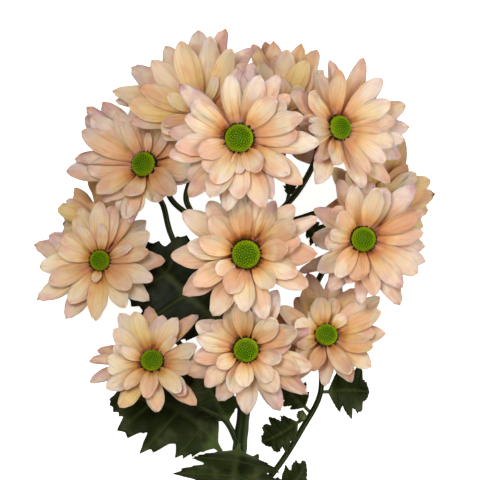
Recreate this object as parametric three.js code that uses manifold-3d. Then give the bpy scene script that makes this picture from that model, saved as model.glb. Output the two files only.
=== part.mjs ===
// A cut spray chrysanthemum with thirteen daisy blooms, lying on its back with its blooms turned up.
// Millimetres, +Z up. +X and +Y are right and up in the front view of the spray, and the cut end points to -Y.
// The origin is the middle of the box round it, on the surface that it lies on.

import * as THREE from "three";
import { mergeVertices } from "three/addons/utils/BufferGeometryUtils.js";
import Module from "manifold-3d";

const wasm = await Module();
wasm.setup();

// From the middle of the front view to the origin, as the box round the spray comes out.
const viewCentre = new THREE.Vector3(2.02, 60.52, 0);

// Petals, discs and calyxes, along each bloom's own axis from the plane that its petals spring from.
const petalThickness = 0.7;
const petalClaw = 0.24; // width of the root, as a share of the widest place
const petalWidestAt = 0.62; // share of the length
const petalTipRoundness = 0.6; // 1 is pointed, and less is rounder
const petalRootInset = 0.3; // from the disc's edge in to the petals' sunken ends
const petalStations = [0, 0.42, 0.82, 1]; // shares of the length
const shortPetal = 14; // length up to which a petal has fewer facets
const shortPetalStations = [0, 0.7, 1];
const overlap = 3.5; // degrees that every second petal of a tier rises more, and the others less
const aimSteps = 20; // rounds of finding a petal's own turn from its place in the front view

// How far the petals differ from each other: rise and curl in degrees, sideways sway as a share of the length,
// shares of the usual reach and width, and how deep they are channelled as a share of half their width.
const differences = { rise: 1, curl: 6, sway: 0.05, reach: [0.92, 1.06], width: [0.94, 1.08], channel: [0.1, 0.22] };

// The ring that holds the petals.
const coreOverhang = 1.2;
const coreSides = 8;
const coreBottom = -2;
const coreTop = 0.9;
const fitGap = 0.3; // between two pieces that touch

// The green dome of florets, from its foot up: how far out and how high its rings are, as shares of the disc's
// radius and of the dome's height, and how far each second point stands further out or further up.
const discHeight = 0.63; // share of the disc's radius
const discSides = 12;
const discRings = [
  { out: 0.84, up: 0, further: 0, higher: 0, phase: 0 },
  { out: 0.94, up: 0.2, further: 0.35, higher: 0, phase: 0 },
  { out: 0.84, up: 0.6, further: 0.35, higher: 0.35, phase: 1 },
  { out: 0.6, up: 0.84, further: 0, higher: 0.5, phase: 0 },
  { out: 0.32, up: 0.9, further: 0, higher: 0.5, phase: 1 },
];

// The cup of green bracts, from its foot up: how far out and how far below the petals its rings are, as shares of
// the cup's radius and depth, and how far the bracts stand out.
const calyxDepth = 7;
const calyxOverhang = 0.8; // of the cup's radius over the disc's
const calyxBracts = 6;
const calyxRings = [
  { out: 0.24, down: 1, bract: 0 },
  { out: 0.72, down: 0.7, bract: 0.5 },
  { out: 1, down: 0.08, bract: 1.1 },
];

// The three tiers of petals of a bloom: their width as a share of the bloom's radius, how steeply they rise in
// degrees, how much they curl on the way out, how deep they are sunk, their usual and longest reach as shares of
// the radius, and the turn between neighbours on the side of a bloom that isn't seen.
const tiers = {
  low: { width: 0.31, rise: 1, curl: 8, sunk: 1.6, usual: 0.95, most: 1.2, spacing: 40 },
  mid: { width: 0.29, rise: 17, curl: 0, sunk: 0.6, usual: 0.85, most: 1.05, spacing: 40 },
  top: { width: 0.24, rise: 38, curl: -22, sunk: -0.4, usual: 0.55, most: 0.75, spacing: 180 },
};

// Each bloom: where its disc is, the way it leans and by how much in degrees, its radius, its disc's radius, how
// much more it is cupped than the tiers say, and the seed of its petals' small differences. Then its petals, each
// with the turn and the reach of its tip from the disc's centre as seen in the front view, in degrees and
// millimetres, and its width where it is rolled narrow. The side that isn't seen is filled by the tier's spacing.
const blooms = [
  {
    at: [-0.4, 44.9, 112], lean: 90, tilt: 6, radius: 31.5, disc: 6.8, cup: 0, seed: 11,
    low: [
      [90, 31.5], [81, 34, 0.5], [59, 33.5], [42, 29.5, 0.9], [356, 35.5], [300, 30.5], [290, 33], [261, 32],
      [230, 34.3], [216, 29], [138, 35.5], [175, 31], [326, 34.3],
    ],
    mid: [
      [100, 29], [70, 29.5], [22, 30], [7, 26], [324, 27], [268, 27], [244, 31], [196, 33], [143, 27.5],
      [188, 29], [160, 26], [37, 27],
    ],
    top: [[199, 17.5], [222, 19], [241, 19.5], [268, 14], [305, 15.5], [52, 23]],
  },
  {
    at: [2.7, -6.2, 96], lean: 250, tilt: 5, radius: 32.5, disc: 6.8, cup: 0, seed: 23,
    low: [
      [146, 33.5], [184, 33.5], [211, 33.5], [241, 31], [330, 31], [0, 31.5], [29, 35.5, 0.5], [44, 30],
      [60, 26.5, 0.6], [127, 28.5], [287, 30.5],
    ],
    mid: [
      [99, 26], [81, 25.5], [32, 26.5], [16, 24.5], [338, 24.5], [266, 26], [135, 23], [307, 20], [246, 20],
    ],
    top: [[6, 17.5], [167, 20], [212, 15.5]],
  },
  {
    at: [-42.3, 33.4, 58], lean: 152, tilt: 28, radius: 33, disc: 6.0, cup: 4, seed: 37,
    low: [
      [172, 32, 0.35], [217, 25], [240, 23.5], [256, 27, 0.4], [285, 17], [315, 18], [345, 22], [141, 37],
      [133, 37, 0.5], [122, 34], [187, 35.5],
    ],
    mid: [[153, 34], [138, 33], [181, 27], [205, 26], [292, 17], [48, 20], [100, 27], [75, 24], [118, 28]],
    top: [[229, 15], [66, 16, 0.5], [315, 14], [95, 15, 0.4], [125, 23, 0.6]],
  },
  {
    at: [-62.3, -9.3, 44], lean: 150, tilt: 12, radius: 30, disc: 4.9, cup: 2, seed: 41,
    low: [
      [167, 31], [211, 33.5], [239, 30], [319, 27], [0, 29], [42, 26.5], [55, 31, 0.45], [155, 26], [113, 26],
      [262, 22.5, 0.8],
    ],
    mid: [[184, 27.5], [200, 26], [234, 23.5], [300, 24], [339, 23.5], [77, 26], [94, 26.5], [121, 23.5], [149, 21]],
    top: [[13, 20, 0.7], [30, 14, 0.5], [124, 19, 0.6], [90, 16, 0.6], [250, 9, 0.8], [315, 16], [165, 19, 0.7]],
  },
  {
    at: [-39.2, -54.3, 60], lean: 95, tilt: 22, radius: 27, disc: 5.4, cup: 4, seed: 59,
    low: [
      [91, 25], [78, 22], [122, 26.5], [167, 25, 0.6], [177, 27.5, 0.4], [195, 29, 0.5], [47, 30, 0.55],
      [317, 25.5],
    ],
    mid: [
      [110, 24.5], [137, 23.5], [156, 19], [174, 20], [191, 20.5], [207, 23.5], [235, 26], [274, 20], [20, 21.5],
      [355, 18], [63, 23.5],
    ],
    top: [[321, 20], [262, 10], [150, 15, 0.7], [215, 14, 0.7], [55, 16, 0.6]],
  },
  {
    at: [2.7, -48.5, 80], lean: 275, tilt: 12, radius: 30, disc: 6.0, cup: 0, seed: 61,
    low: [
      [272, 29], [300, 31.5], [324, 33.5], [342, 30.5], [16, 30, 0.5], [151, 25], [204, 28], [243, 26.5],
    ],
    mid: [[307, 24], [6, 20.5], [20, 25], [115, 20], [143, 20], [190, 24], [252, 21], [66, 20], [171, 22]],
    top: [[305, 18], [40, 17], [95, 18.5], [267, 17], [215, 15], [340, 16]],
  },
  {
    at: [38.3, -42.7, 54], lean: 60, tilt: 18, radius: 27.5, disc: 5.4, cup: 6, seed: 73,
    low: [
      [103, 29], [80, 29], [59, 25.5], [34, 30], [328, 24.5], [300, 23], [271, 21, 0.65], [125, 22],
    ],
    mid: [[149, 25.5], [42, 23.5], [24, 28], [6, 22.5], [347, 22], [76, 18.5], [251, 16, 0.65], [176, 18], [212, 16]],
    top: [[95, 18], [307, 16.5], [194, 12, 0.7], [115, 13.5], [150, 13], [50, 14]],
  },
  {
    at: [54.7, 0.4, 70], lean: 350, tilt: 10, radius: 30, disc: 5.9, cup: 0, seed: 83,
    low: [
      [111, 28.5, 0.85], [46, 34], [355, 28], [339, 30], [300, 33.5], [269, 29, 0.6], [238, 27.5],
      [210, 31, 0.45], [180, 22.5], [147, 24.5], [84, 26],
    ],
    mid: [
      [102, 24], [23, 30, 0.7], [5, 27.5], [330, 29], [309, 28], [281, 26], [252, 20.5, 0.6], [183, 17.5],
      [135, 19.5], [62, 25],
    ],
    top: [[72, 23], [264, 18], [235, 18], [174, 13], [133, 14]],
  },
  {
    at: [43.6, 49.8, 78], lean: 15, tilt: 36, radius: 32, disc: 5.8, cup: 2, seed: 97,
    low: [
      [68, 34], [17, 34], [0, 31], [350, 32], [338, 35.5], [312, 34], [288, 27.5, 0.4], [249, 26], [107, 26],
      [143, 25], [94, 30.5, 0.4],
    ],
    mid: [[46, 30.5], [24, 28], [8, 27], [346, 27.5], [325, 27], [270, 16], [237, 17, 0.6], [90, 27], [125, 20]],
    top: [[318, 24, 0.7], [180, 8, 0.6], [215, 10, 0.45], [150, 9, 0.45]],
  },
  {
    at: [-16.5, 56, 76], lean: 125, tilt: 28, radius: 36, disc: 5.2, cup: 4, seed: 101,
    low: [
      [167, 44, 0.6], [163, 41.5], [148, 39], [121, 36], [95, 38], [74, 39.5, 0.6], [56, 38, 0.6],
      [184, 33], [208, 21], [238, 18], [325, 12],
    ],
    mid: [
      [173, 34], [155, 32], [135, 34], [109, 35], [82, 35.5], [66, 33], [48, 31], [200, 20], [232, 17], [318, 10],
    ],
    top: [[186, 18, 0.5], [118, 15], [78, 19, 0.5], [150, 19, 0.6]],
  },
  {
    at: [18.5, 54.5, 34], lean: 85, tilt: 30, radius: 32, disc: 4.6, cup: 8, seed: 113,
    low: [[112, 36, 0.5], [104, 38.5, 0.35], [98, 35.5], [74, 35], [64, 36.5], [50, 30]],
    mid: [[97, 29.5], [88, 32.5], [81, 26], [62, 27.5], [70, 30], [112, 28], [129, 27]],
    top: [[125, 13], [90, 20], [60, 18]],
  },
  {
    at: [-62, 8, 15.044], lean: 165, tilt: 44, radius: 24, disc: 4.4, cup: 8, seed: 127,
    low: [[161, 22, 0.8], [181, 19, 0.8], [193, 19.5, 0.6], [128, 20.5, 0.8]],
    mid: [[170, 19, 0.8], [150, 20, 0.8], [137, 19, 0.8]],
    top: [[160, 12], [185, 12], [130, 12]],
  },
  {
    at: [60, 15, 19.455], lean: 8, tilt: 34, radius: 29, disc: 5, cup: 4, seed: 131,
    low: [[10, 30], [27, 28.5], [342, 25], [64, 33.5], [357, 26.5]],
    mid: [[49, 25], [18, 25.5], [352, 21], [34, 25.5]],
    top: [[20, 14], [350, 14], [50, 14]],
  },
];

// The main stem from its cut end to the last fork, with its radius there.
const stemLine = [
  { at: [-9, -214.5, 3.076], radius: 3.2 },
  { at: [-7, -170, 10], radius: 3.1 },
  { at: [-4, -125, 20], radius: 3.0 },
  { at: [0, -92, 28], radius: 2.9 },
  { at: [3, -60, 36], radius: 2.6 },
  { at: [3, -25, 43], radius: 2.4 },
  { at: [1, 8, 50], radius: 2.1 },
  { at: [0, 32, 66], radius: 1.7 },
];
const stemSides = 7;
const stemSteps = 16;

// Each bloom's stalk: where it leaves the main stem, as a share of the main stem's length, the points that it
// passes through, how far it runs straight behind the bloom, and its radius where it isn't the usual one.
const stalks = [
  { from: 0.97, through: [], arrive: 16 },
  { from: 0.76, through: [[4, -24, 58]], arrive: 20 },
  { from: 0.78, through: [[-12, 5, 50], [-25.4, 13.1, 50], [-30.7, 18.2, 48]], arrive: 5 },
  { from: 0.5, through: [[-20, -54, 24], [-42, -30, 19]], arrive: 6 },
  { from: 0.42, through: [[-7.6, -80.1, 44], [-17.8, -74.5, 47]], arrive: 10, radius: 0.9 },
  { from: 0.52, through: [[5, -62, 46]], arrive: 14 },
  { from: 0.29, through: [[15, -104, 26], [28, -84, 31], [36, -68, 36]], arrive: 8 },
  { from: 0.84, through: [[24, 9, 52], [38, 12, 54]], arrive: 8 },
  { from: 0.8, through: [[18, 13, 54], [26, 22, 57], [33.5, 36, 61]], arrive: 5 },
  { from: 0.7, through: [[-22, 13, 57], [-24, 20, 60]], arrive: 8 },
  { from: 0.78, through: [[7, 27, 40], [14, 39, 29]], arrive: 6 },
  { from: 0.6, through: [[-14, -28, 32], [-30.7, 2, 31], [-35.6, 17.6, 29], [-43, 21, 24]], arrive: 6 },
  { from: 0.55, through: [[20, -46, 36], [36, -16, 33], [46, 2, 26]], arrive: 8 },
];
const stalkRadius = 1.3;
const stalkFlare = 1.15; // at its foot, times its radius
const stalkSides = 5;
const stalkSteps = 7;

// Half of a leaf's outline, from the stalk to the tip, as shares of the leaf's length: how far along the edge point
// is, how far out, and where on the midrib its own facet starts.
const leafOutline = [
  { along: 0, out: 0, rib: 0 },
  { along: 0.15, out: 0.025, rib: 0.15 },
  { along: 0.22, out: 0.12, rib: 0.22 },
  { along: 0.31, out: 0.23, rib: 0.28 },
  { along: 0.38, out: 0.28, rib: 0.33 },
  { along: 0.42, out: 0.19, rib: 0.39 },
  { along: 0.51, out: 0.31, rib: 0.46 },
  { along: 0.62, out: 0.38, rib: 0.54 },
  { along: 0.64, out: 0.22, rib: 0.6 },
  { along: 0.74, out: 0.29, rib: 0.67 },
  { along: 0.84, out: 0.25, rib: 0.75 },
  { along: 0.85, out: 0.14, rib: 0.81 },
  { along: 0.93, out: 0.1, rib: 0.89 },
];
const usualStalk = 0.15; // share of a leaf's length that is stalk, where the outline's second point is
const leafThickness = 0.9;
const leafRoot = 0.8; // half the width of the narrowest stalk
const leafGap = 1.3; // from the stem's surface to the middle of the leaf's stalk

// Each leaf: which stem it grows from (0 is the main stem, and the others are the blooms' stalks in their order)
// and where along it, where its tip is, how far it rolls about its midrib in degrees, how far the midrib arches up
// and to its left as shares of the length, how much the blade is folded up along it, how broad it is, and the
// share of it that is stalk where that isn't the usual one.
const leaves = [
  { on: 0, from: 0.385, tip: [-58.5, -71, 27], roll: 12, arch: 0.1, bend: -0.16, fold: 8, broad: 1.02 },
  { on: 0, from: 0.43, tip: [-6, -125, 36.5], roll: 0, arch: 0.52, bend: 0, fold: 6, broad: 2.2, stalk: 0.06 },
  { on: 0, from: 0.37, tip: [8, -96, 32], roll: 0, arch: 0.05, bend: 0, fold: 8, broad: 0.8 },
  { on: 7, from: 0.42, tip: [9.5, -90.5, 28], roll: 10, arch: 0.08, bend: 0.05, fold: 8, broad: 1.25, stalk: 0.05 },
  { on: 7, from: 0.49, tip: [19, -64, 34], roll: -10, arch: 0.05, bend: 0, fold: 8, broad: 1.35, stalk: 0.08 },
  { on: 7, from: 0.605, tip: [58, -68, 33], roll: 0, arch: 0.08, bend: 0.05, fold: 6, broad: 1.85, stalk: 0.04 },
  { on: 7, from: 0.12, tip: [29.5, -99, 15], roll: 20, arch: 0.05, bend: -0.2, fold: 8, broad: 1.0 },
  { on: 0, from: 0.63, tip: [-46, -3, 37], roll: -4, arch: 0.04, bend: 0, fold: 6, broad: 1.08 },
  { on: 12, from: 0.22, tip: [-43, -38, 26], roll: -4, arch: 0.04, bend: 0, fold: 6, broad: 1.3 },
  { on: 8, from: 0.3, tip: [39, -1, 46], roll: 0, arch: 0.05, bend: 0, fold: 8, broad: 1.1 },
  { on: 9, from: 0.3, tip: [23, 26, 50], roll: 0, arch: 0.05, bend: 0, fold: 8, broad: 1.1 },
  { on: 0, from: 0.93, tip: [-8, 24, 52], roll: 0, arch: 0.05, bend: 0, fold: 8, broad: 1.1 },
  { on: 0, from: 0.46, tip: [-19, -57, 40], roll: 0, arch: 0.05, bend: 0, fold: 8, broad: 1.0 },
  { on: 0, from: 0.2, tip: [34, -150, 6], roll: -8, arch: 0.12, bend: 0.06, fold: 8, broad: 1.1 },
];

// The small bud on the right side stem: where along that stem, and which way it points. Its rings are shares of
// its radius and length.
const bud = { on: 7, from: 0.455, toward: [-0.8, 0.3, 0.5], gap: 0.6, radius: 1.7, length: 4, bract: 0.2 };
const budTip = 0.92;
const budRings = [
  { out: 0.5, up: 0 },
  { out: 0.9, up: 0.25 },
  { out: 0.95, up: 0.6 },
  { out: 0.6, up: 0.88 },
];

const petalPaint = new THREE.MeshStandardMaterial({ color: 0xefc8a0, roughness: 0.6, metalness: 0 });
const discPaint = new THREE.MeshStandardMaterial({ color: 0x5c9c12, roughness: 0.7, metalness: 0 });
const calyxPaint = new THREE.MeshStandardMaterial({ color: 0x50682e, roughness: 0.7, metalness: 0 });
const stemPaint = new THREE.MeshStandardMaterial({ color: 0x2f401f, roughness: 0.6, metalness: 0 });
const leafPaint = new THREE.MeshStandardMaterial({ color: 0x23361c, roughness: 0.6, metalness: 0 });

const rad = THREE.MathUtils.degToRad;

// A repeatable source of small differences.
function randomSource(seed) {
  let state = seed;
  return (low, high) => {
    state = (state * 9301 + 49297) % 233280;
    return low + (state / 233280) * (high - low);
  };
}

// Skins rings of points into one closed body. Each ring runs counter-clockwise seen from where the rings lead,
// and a last ring of one point is a tip. The second half of a blade's ring is its underside, and it is split
// into triangles that mirror the upper side's, so that the two sides of a waved blade never cross.
function loft(rings, blade = false) {
  const points = rings.flat();
  const corners = [];
  const sides = rings[0].length;
  for (let i = 0; i + 1 < rings.length; i++) {
    for (let j = 0; j < sides; j++) {
      const a = i * sides + j;
      const b = i * sides + ((j + 1) % sides);
      if (rings[i + 1].length === 1) corners.push(a, b, points.length - 1);
      else if (blade && j >= sides / 2) corners.push(a, b, a + sides, b, b + sides, a + sides);
      else corners.push(a, b, b + sides, a, b + sides, a + sides);
    }
  }
  const close = (start, flip) => {
    for (let j = start + 1; j + 1 < start + sides; j++) {
      corners.push(start, ...(flip ? [j + 1, j] : [j, j + 1]));
    }
  };
  close(0, true);
  if (rings.at(-1).length > 1) close((rings.length - 1) * sides, false);
  return new THREE.BufferGeometry().setFromPoints(points).setIndex(corners);
}

// Joins closed bodies into one, and keeps only the largest piece.
function fuse(geometries) {
  const solids = geometries.map((geometry) => {
    const merged = mergeVertices(geometry, 1e-4);
    return new wasm.Manifold(
      new wasm.Mesh({
        numProp: 3,
        vertProperties: merged.getAttribute("position").array,
        triVerts: new Uint32Array(merged.index.array),
      }),
    );
  });
  const joined = solids.slice(1).reduce((whole, solid) => whole.add(solid), solids[0]);
  const largest = joined.decompose().sort((a, b) => b.volume() - a.volume())[0];
  const mesh = largest.getMesh();
  return new THREE.BufferGeometry()
    .setAttribute("position", new THREE.BufferAttribute(new Float32Array(mesh.vertProperties), 3))
    .setIndex(new THREE.BufferAttribute(new Uint32Array(mesh.triVerts), 1));
}

// A ring round the Z axis. Every second point can stand further out and further up.
function ringAt(radius, height, sides, further = 0, higher = 0, phase = 0) {
  return Array.from({ length: sides }, (_, j) => {
    const angle = (2 * Math.PI * j) / sides;
    const raised = (j + phase) % 2 === 0 ? 1 : 0;
    const r = radius + raised * further;
    return new THREE.Vector3(r * Math.cos(angle), r * Math.sin(angle), height + raised * higher);
  });
}

// Half the width of a petal at a share s of its length, as a share of its widest.
function petalHalf(s) {
  if (s < petalWidestAt) return petalClaw + (1 - petalClaw) * Math.sin((Math.PI / 2) * (s / petalWidestAt));
  const past = (s - petalWidestAt) / (1 - petalWidestAt);
  return Math.pow(Math.cos((Math.PI / 2) * past), petalTipRoundness);
}

// A point of a petal: s along it, t across it from -1 to 1, and how far below its upper face.
function petalPoint(petal, s, t, below = 0) {
  const angle = petal.rise + (petal.curl * s) / 2;
  const slope = petal.rise + petal.curl * s;
  const half = (petal.width / 2) * petalHalf(s);
  const lift = petal.channel * half * t * t - below;
  return new THREE.Vector3(
    petal.root + petal.length * s * Math.cos(angle) - lift * Math.sin(slope),
    half * t + petal.sway * petal.length * s * s,
    petal.length * s * Math.sin(angle) - petal.sunk + lift * Math.cos(slope),
  ).applyAxisAngle(new THREE.Vector3(0, 0, 1), petal.turn);
}

// Turns a bloom's own frame, with its axis along Z, to the way that the bloom leans.
function turnOf(bloom) {
  return new THREE.Quaternion().setFromUnitVectors(new THREE.Vector3(0, 0, 1), axisOf(bloom));
}

// The turn and reach in the bloom's own frame of a petal of a given rise, from its tip in the front view.
function fromFrontView(bloom, rise, [turn, reach]) {
  const [across, along, out] = [[1, 0, 0], [0, 1, 0], [0, 0, 1]].map((v) =>
    new THREE.Vector3(...v).applyQuaternion(turnOf(bloom)),
  );
  const seen = new THREE.Vector2(reach * Math.cos(rad(turn)), reach * Math.sin(rad(turn)));
  const size = across.x * along.y - along.x * across.y;
  const own = seen.clone();
  for (let i = 0; i < aimSteps; i++) {
    const height = Math.tan(rise) * own.length();
    const x = seen.x - out.x * height;
    const y = seen.y - out.y * height;
    own.set((x * along.y - y * along.x) / size, (y * across.x - x * across.y) / size);
  }
  return { turn: own.angle(), reach: own.length() };
}

// The petals of one bloom: those that the front view shows, then as many more as fill the rest of each tier. Round
// a tier, every second petal lies over its two neighbours.
function petalsOf(bloom) {
  const vary = randomSource(bloom.seed);
  const either = (most) => vary(-most, most);
  const root = bloom.disc - petalRootInset;
  return Object.entries(tiers).flatMap(([name, tier]) => {
    const made = [];
    const nextRise = () => {
      const over = made.length % 2 ? overlap : -overlap;
      return rad(tier.rise + bloom.cup + over + either(differences.rise));
    };
    const add = (turn, reach, width, rise) =>
      made.push({
        turn,
        rise,
        curl: rad(tier.curl + either(differences.curl)),
        root,
        sunk: tier.sunk,
        length: (Math.min(reach, bloom.radius * tier.most) - root) / Math.cos(rise),
        width: bloom.radius * tier.width * width * vary(...differences.width),
        channel: vary(...differences.channel),
        sway: either(differences.sway),
      });
    const middle = rad(tier.rise + bloom.cup);
    const seen = bloom[name]
      .map((tip) => ({ tip, turn: fromFrontView(bloom, middle, tip).turn }))
      .sort((a, b) => a.turn - b.turn);
    seen.forEach(({ tip, turn }, i) => {
      const rise = nextRise();
      const own = fromFrontView(bloom, rise, tip);
      add(own.turn, own.reach, tip[2] ?? 1, rise);
      const next = i + 1 < seen.length ? seen[i + 1].turn : seen[0].turn + 2 * Math.PI;
      const parts = Math.round((next - turn) / rad(tier.spacing));
      for (let k = 1; k < parts; k++) {
        const reach = bloom.radius * tier.usual * vary(...differences.reach);
        add(turn + ((next - turn) * k) / parts, reach, 1, nextRise());
      }
    });
    return made;
  });
}

function petalBlade(petal) {
  const stations = petal.length < shortPetal ? shortPetalStations : petalStations;
  const rings = stations.map((s) => {
    if (s === 1) return [petalPoint(petal, s, 0, petalThickness / 2)];
    return [petalPoint(petal, s, 1), petalPoint(petal, s, -1), petalPoint(petal, s, 0, petalThickness)];
  });
  return loft(rings);
}

// All the petals of a bloom, sunk into the ring of the flower base that holds them.
function bloomPetals(bloom) {
  const base = loft([
    ringAt(bloom.disc + coreOverhang, coreBottom, coreSides),
    ringAt(bloom.disc + coreOverhang, coreTop, coreSides),
  ]);
  return fuse([base, ...petalsOf(bloom).map(petalBlade)]);
}

// The green dome of small florets, larger than life as relief.
function bloomDisc(bloom) {
  const foot = coreTop + fitGap;
  const height = bloom.disc * discHeight;
  return loft([
    ...discRings.map(({ out, up, further, higher, phase }) =>
      ringAt(bloom.disc * out, foot + height * up, discSides, further, higher, phase),
    ),
    [new THREE.Vector3(0, 0, foot + height)],
  ]);
}

// The cup of green bracts behind the petals.
function bloomCalyx(bloom) {
  const top = coreBottom - fitGap;
  const radius = bloom.disc + calyxOverhang;
  return loft(
    calyxRings.map(({ out, down, bract }) => ringAt(radius * out, top - calyxDepth * down, calyxBracts * 2, bract)),
  );
}

function axisOf(bloom) {
  const tilt = rad(bloom.tilt);
  const lean = rad(bloom.lean);
  return new THREE.Vector3(
    Math.sin(tilt) * Math.cos(lean),
    Math.sin(tilt) * Math.sin(lean),
    Math.cos(tilt),
  );
}

// A round stem along a curve, with its radius at each end or at even steps between.
function stemAlong(curve, radii, sides, steps) {
  const frames = curve.computeFrenetFrames(steps, false);
  const rings = Array.from({ length: steps + 1 }, (_, i) => {
    const u = (i / steps) * (radii.length - 1);
    const k = Math.min(Math.floor(u), radii.length - 2);
    const radius = THREE.MathUtils.lerp(radii[k], radii[k + 1], u - k);
    const centre = curve.getPoint(i / steps);
    return Array.from({ length: sides }, (_, j) => {
      const angle = (2 * Math.PI * (j + 0.5)) / sides;
      return centre
        .clone()
        .addScaledVector(frames.normals[i], radius * Math.cos(angle))
        .addScaledVector(frames.binormals[i], radius * Math.sin(angle));
    });
  });
  return loft(rings);
}

const mainStem = new THREE.CatmullRomCurve3(stemLine.map((p) => new THREE.Vector3(...p.at)));

function stalkCurve(bloom, stalk) {
  const axis = axisOf(bloom);
  const calyxFoot = coreBottom - fitGap - calyxDepth;
  const end = new THREE.Vector3(...bloom.at).addScaledVector(axis, calyxFoot - fitGap);
  return new THREE.CatmullRomCurve3([
    mainStem.getPoint(stalk.from),
    ...stalk.through.map((p) => new THREE.Vector3(...p)),
    end.clone().addScaledVector(axis, -stalk.arrive),
    end,
  ]);
}

// The main stem and the stalks, each with its radii from its foot to its end.
const stems = [
  { curve: mainStem, radii: stemLine.map((p) => p.radius), sides: stemSides, steps: stemSteps },
  ...stalks.map((stalk, i) => ({
    curve: stalkCurve(blooms[i], stalk),
    radii: [(stalk.radius ?? stalkRadius) * stalkFlare, stalk.radius ?? stalkRadius],
    sides: stalkSides,
    steps: stalkSteps,
  })),
];

function branchedStem() {
  return fuse(stems.map((stem) => stemAlong(stem.curve, stem.radii, stem.sides, stem.steps)));
}

// A point just off a stem's surface, on the side that faces a given way.
function besideStem(stem, share, way, gap) {
  const tangent = stem.curve.getTangent(share);
  const side = way.clone().addScaledVector(tangent, -way.dot(tangent)).normalize();
  const u = share * (stem.radii.length - 1);
  const k = Math.min(Math.floor(u), stem.radii.length - 2);
  const radius = THREE.MathUtils.lerp(stem.radii[k], stem.radii[k + 1], u - k);
  return stem.curve.getPoint(share).addScaledVector(side, radius + gap);
}

// One lobed leaf in its own frame: the midrib runs along X from its stalk, arches up and bends sideways, and the
// blade is folded up along it.
function leafBlade(leaf, length) {
  const fold = rad(leaf.fold);
  const rib = (along) => {
    const swell = 4 * along * (1 - along) * length;
    return new THREE.Vector3(along * length, leaf.bend * swell, leaf.arch * swell);
  };
  const stalk = leaf.stalk ?? usualStalk;
  const shifted = (along) => {
    if (along < usualStalk) return (along * stalk) / usualStalk;
    return stalk + ((along - usualStalk) * (1 - stalk)) / (1 - usualStalk);
  };
  const edge = ({ along, out }, side) => {
    const half = Math.max(out * leaf.broad * length, leafRoot);
    return rib(shifted(along)).add(new THREE.Vector3(0, side * Math.cos(fold), Math.sin(fold)).multiplyScalar(half));
  };
  const below = new THREE.Vector3(0, 0, -leafThickness);
  const sections = leafOutline.map((point) => [
    edge(point, -1),
    rib(shifted(point.rib)).add(below),
    edge(point, 1),
    rib(shifted(point.rib)),
  ]);
  sections.push([rib(1)]);
  return loft(sections, true);
}

function placedLeaf(leaf) {
  const stem = stems[leaf.on];
  const tip = new THREE.Vector3(...leaf.tip);
  const foot = besideStem(stem, leaf.from, tip.clone().sub(stem.curve.getPoint(leaf.from)), leafGap);
  const along = tip.clone().sub(foot);
  const x = along.clone().normalize();
  const y = new THREE.Vector3(0, 0, 1).cross(x).normalize().applyAxisAngle(x, rad(leaf.roll));
  const placed = new THREE.Matrix4().makeBasis(x, y, x.clone().cross(y)).setPosition(foot);
  return leafBlade(leaf, along.length()).applyMatrix4(placed);
}

// A closed bud with its bracts, on a stalk of its own too short to see.
function smallBud() {
  const way = new THREE.Vector3(...bud.toward).normalize();
  const foot = besideStem(stems[bud.on], bud.from, way, bud.gap);
  const turned = new THREE.Quaternion().setFromUnitVectors(new THREE.Vector3(0, 0, 1), way);
  return loft([
    ...budRings.map(({ out, up }) => ringAt(bud.radius * out, bud.length * up, calyxBracts * 2, bud.bract)),
    [new THREE.Vector3(0, 0, bud.length * budTip)],
  ])
    .applyQuaternion(turned)
    .translate(foot.x, foot.y, foot.z);
}

function mesh(name, geometry, paint) {
  const made = new THREE.Mesh(geometry, paint);
  made.name = name;
  return made;
}

const two = (n) => String(n).padStart(2, "0");

const spray = new THREE.Group();
spray.position.copy(viewCentre);

blooms.forEach((bloom, i) => {
  const group = new THREE.Group();
  group.position.set(...bloom.at);
  group.quaternion.copy(turnOf(bloom));
  group.add(mesh(`bloom_${two(i + 1)}_petals`, bloomPetals(bloom), petalPaint));
  group.add(mesh(`bloom_${two(i + 1)}_disc`, bloomDisc(bloom), discPaint));
  group.add(mesh(`bloom_${two(i + 1)}_calyx`, bloomCalyx(bloom), calyxPaint));
  spray.add(group);
});

spray.add(mesh("stem", branchedStem(), stemPaint));

spray.add(mesh("bud", smallBud(), calyxPaint));

leaves.forEach((leaf, i) => spray.add(mesh(`leaf_${two(i + 1)}`, placedLeaf(leaf), leafPaint)));

export default spray;
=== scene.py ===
import math

import bpy
import numpy as np
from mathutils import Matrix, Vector


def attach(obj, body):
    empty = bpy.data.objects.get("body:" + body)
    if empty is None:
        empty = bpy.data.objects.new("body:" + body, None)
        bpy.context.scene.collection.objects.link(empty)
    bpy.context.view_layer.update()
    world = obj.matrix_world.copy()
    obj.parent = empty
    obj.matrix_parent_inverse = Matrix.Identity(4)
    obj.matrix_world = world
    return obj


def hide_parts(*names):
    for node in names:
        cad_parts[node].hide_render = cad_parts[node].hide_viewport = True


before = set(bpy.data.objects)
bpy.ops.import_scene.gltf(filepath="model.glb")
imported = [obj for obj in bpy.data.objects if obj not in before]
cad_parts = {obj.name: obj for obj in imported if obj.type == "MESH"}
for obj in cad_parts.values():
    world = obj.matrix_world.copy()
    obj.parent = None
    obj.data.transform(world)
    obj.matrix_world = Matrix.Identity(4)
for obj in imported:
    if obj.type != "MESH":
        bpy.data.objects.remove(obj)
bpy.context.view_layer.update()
bpy.ops.object.select_all(action="DESELECT")

mm = 0.001
viewCentre = np.array([2.02, 60.52, 0])  # the middle of the front view, in the solids' own millimetres
lowest = 0.05  # no point lies nearer to the ground
anyTurn = (0, 6.28)
print("frame loaded:", len(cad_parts), "nodes")


# Small tools that every piece uses.

def randomSource(seed):
    # a spread of numbers that comes out the same each run
    factor, shift, size = 9301, 49297, 233280
    state = [seed]

    def vary(low, high):
        state[0] = (state[0] * factor + shift) % size
        return low + state[0] / size * (high - low)

    return vary


def smooth(low, high, x):
    share = np.clip((x - low) / (high - low), 0, 1)
    return share * share * (3 - 2 * share)


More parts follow.
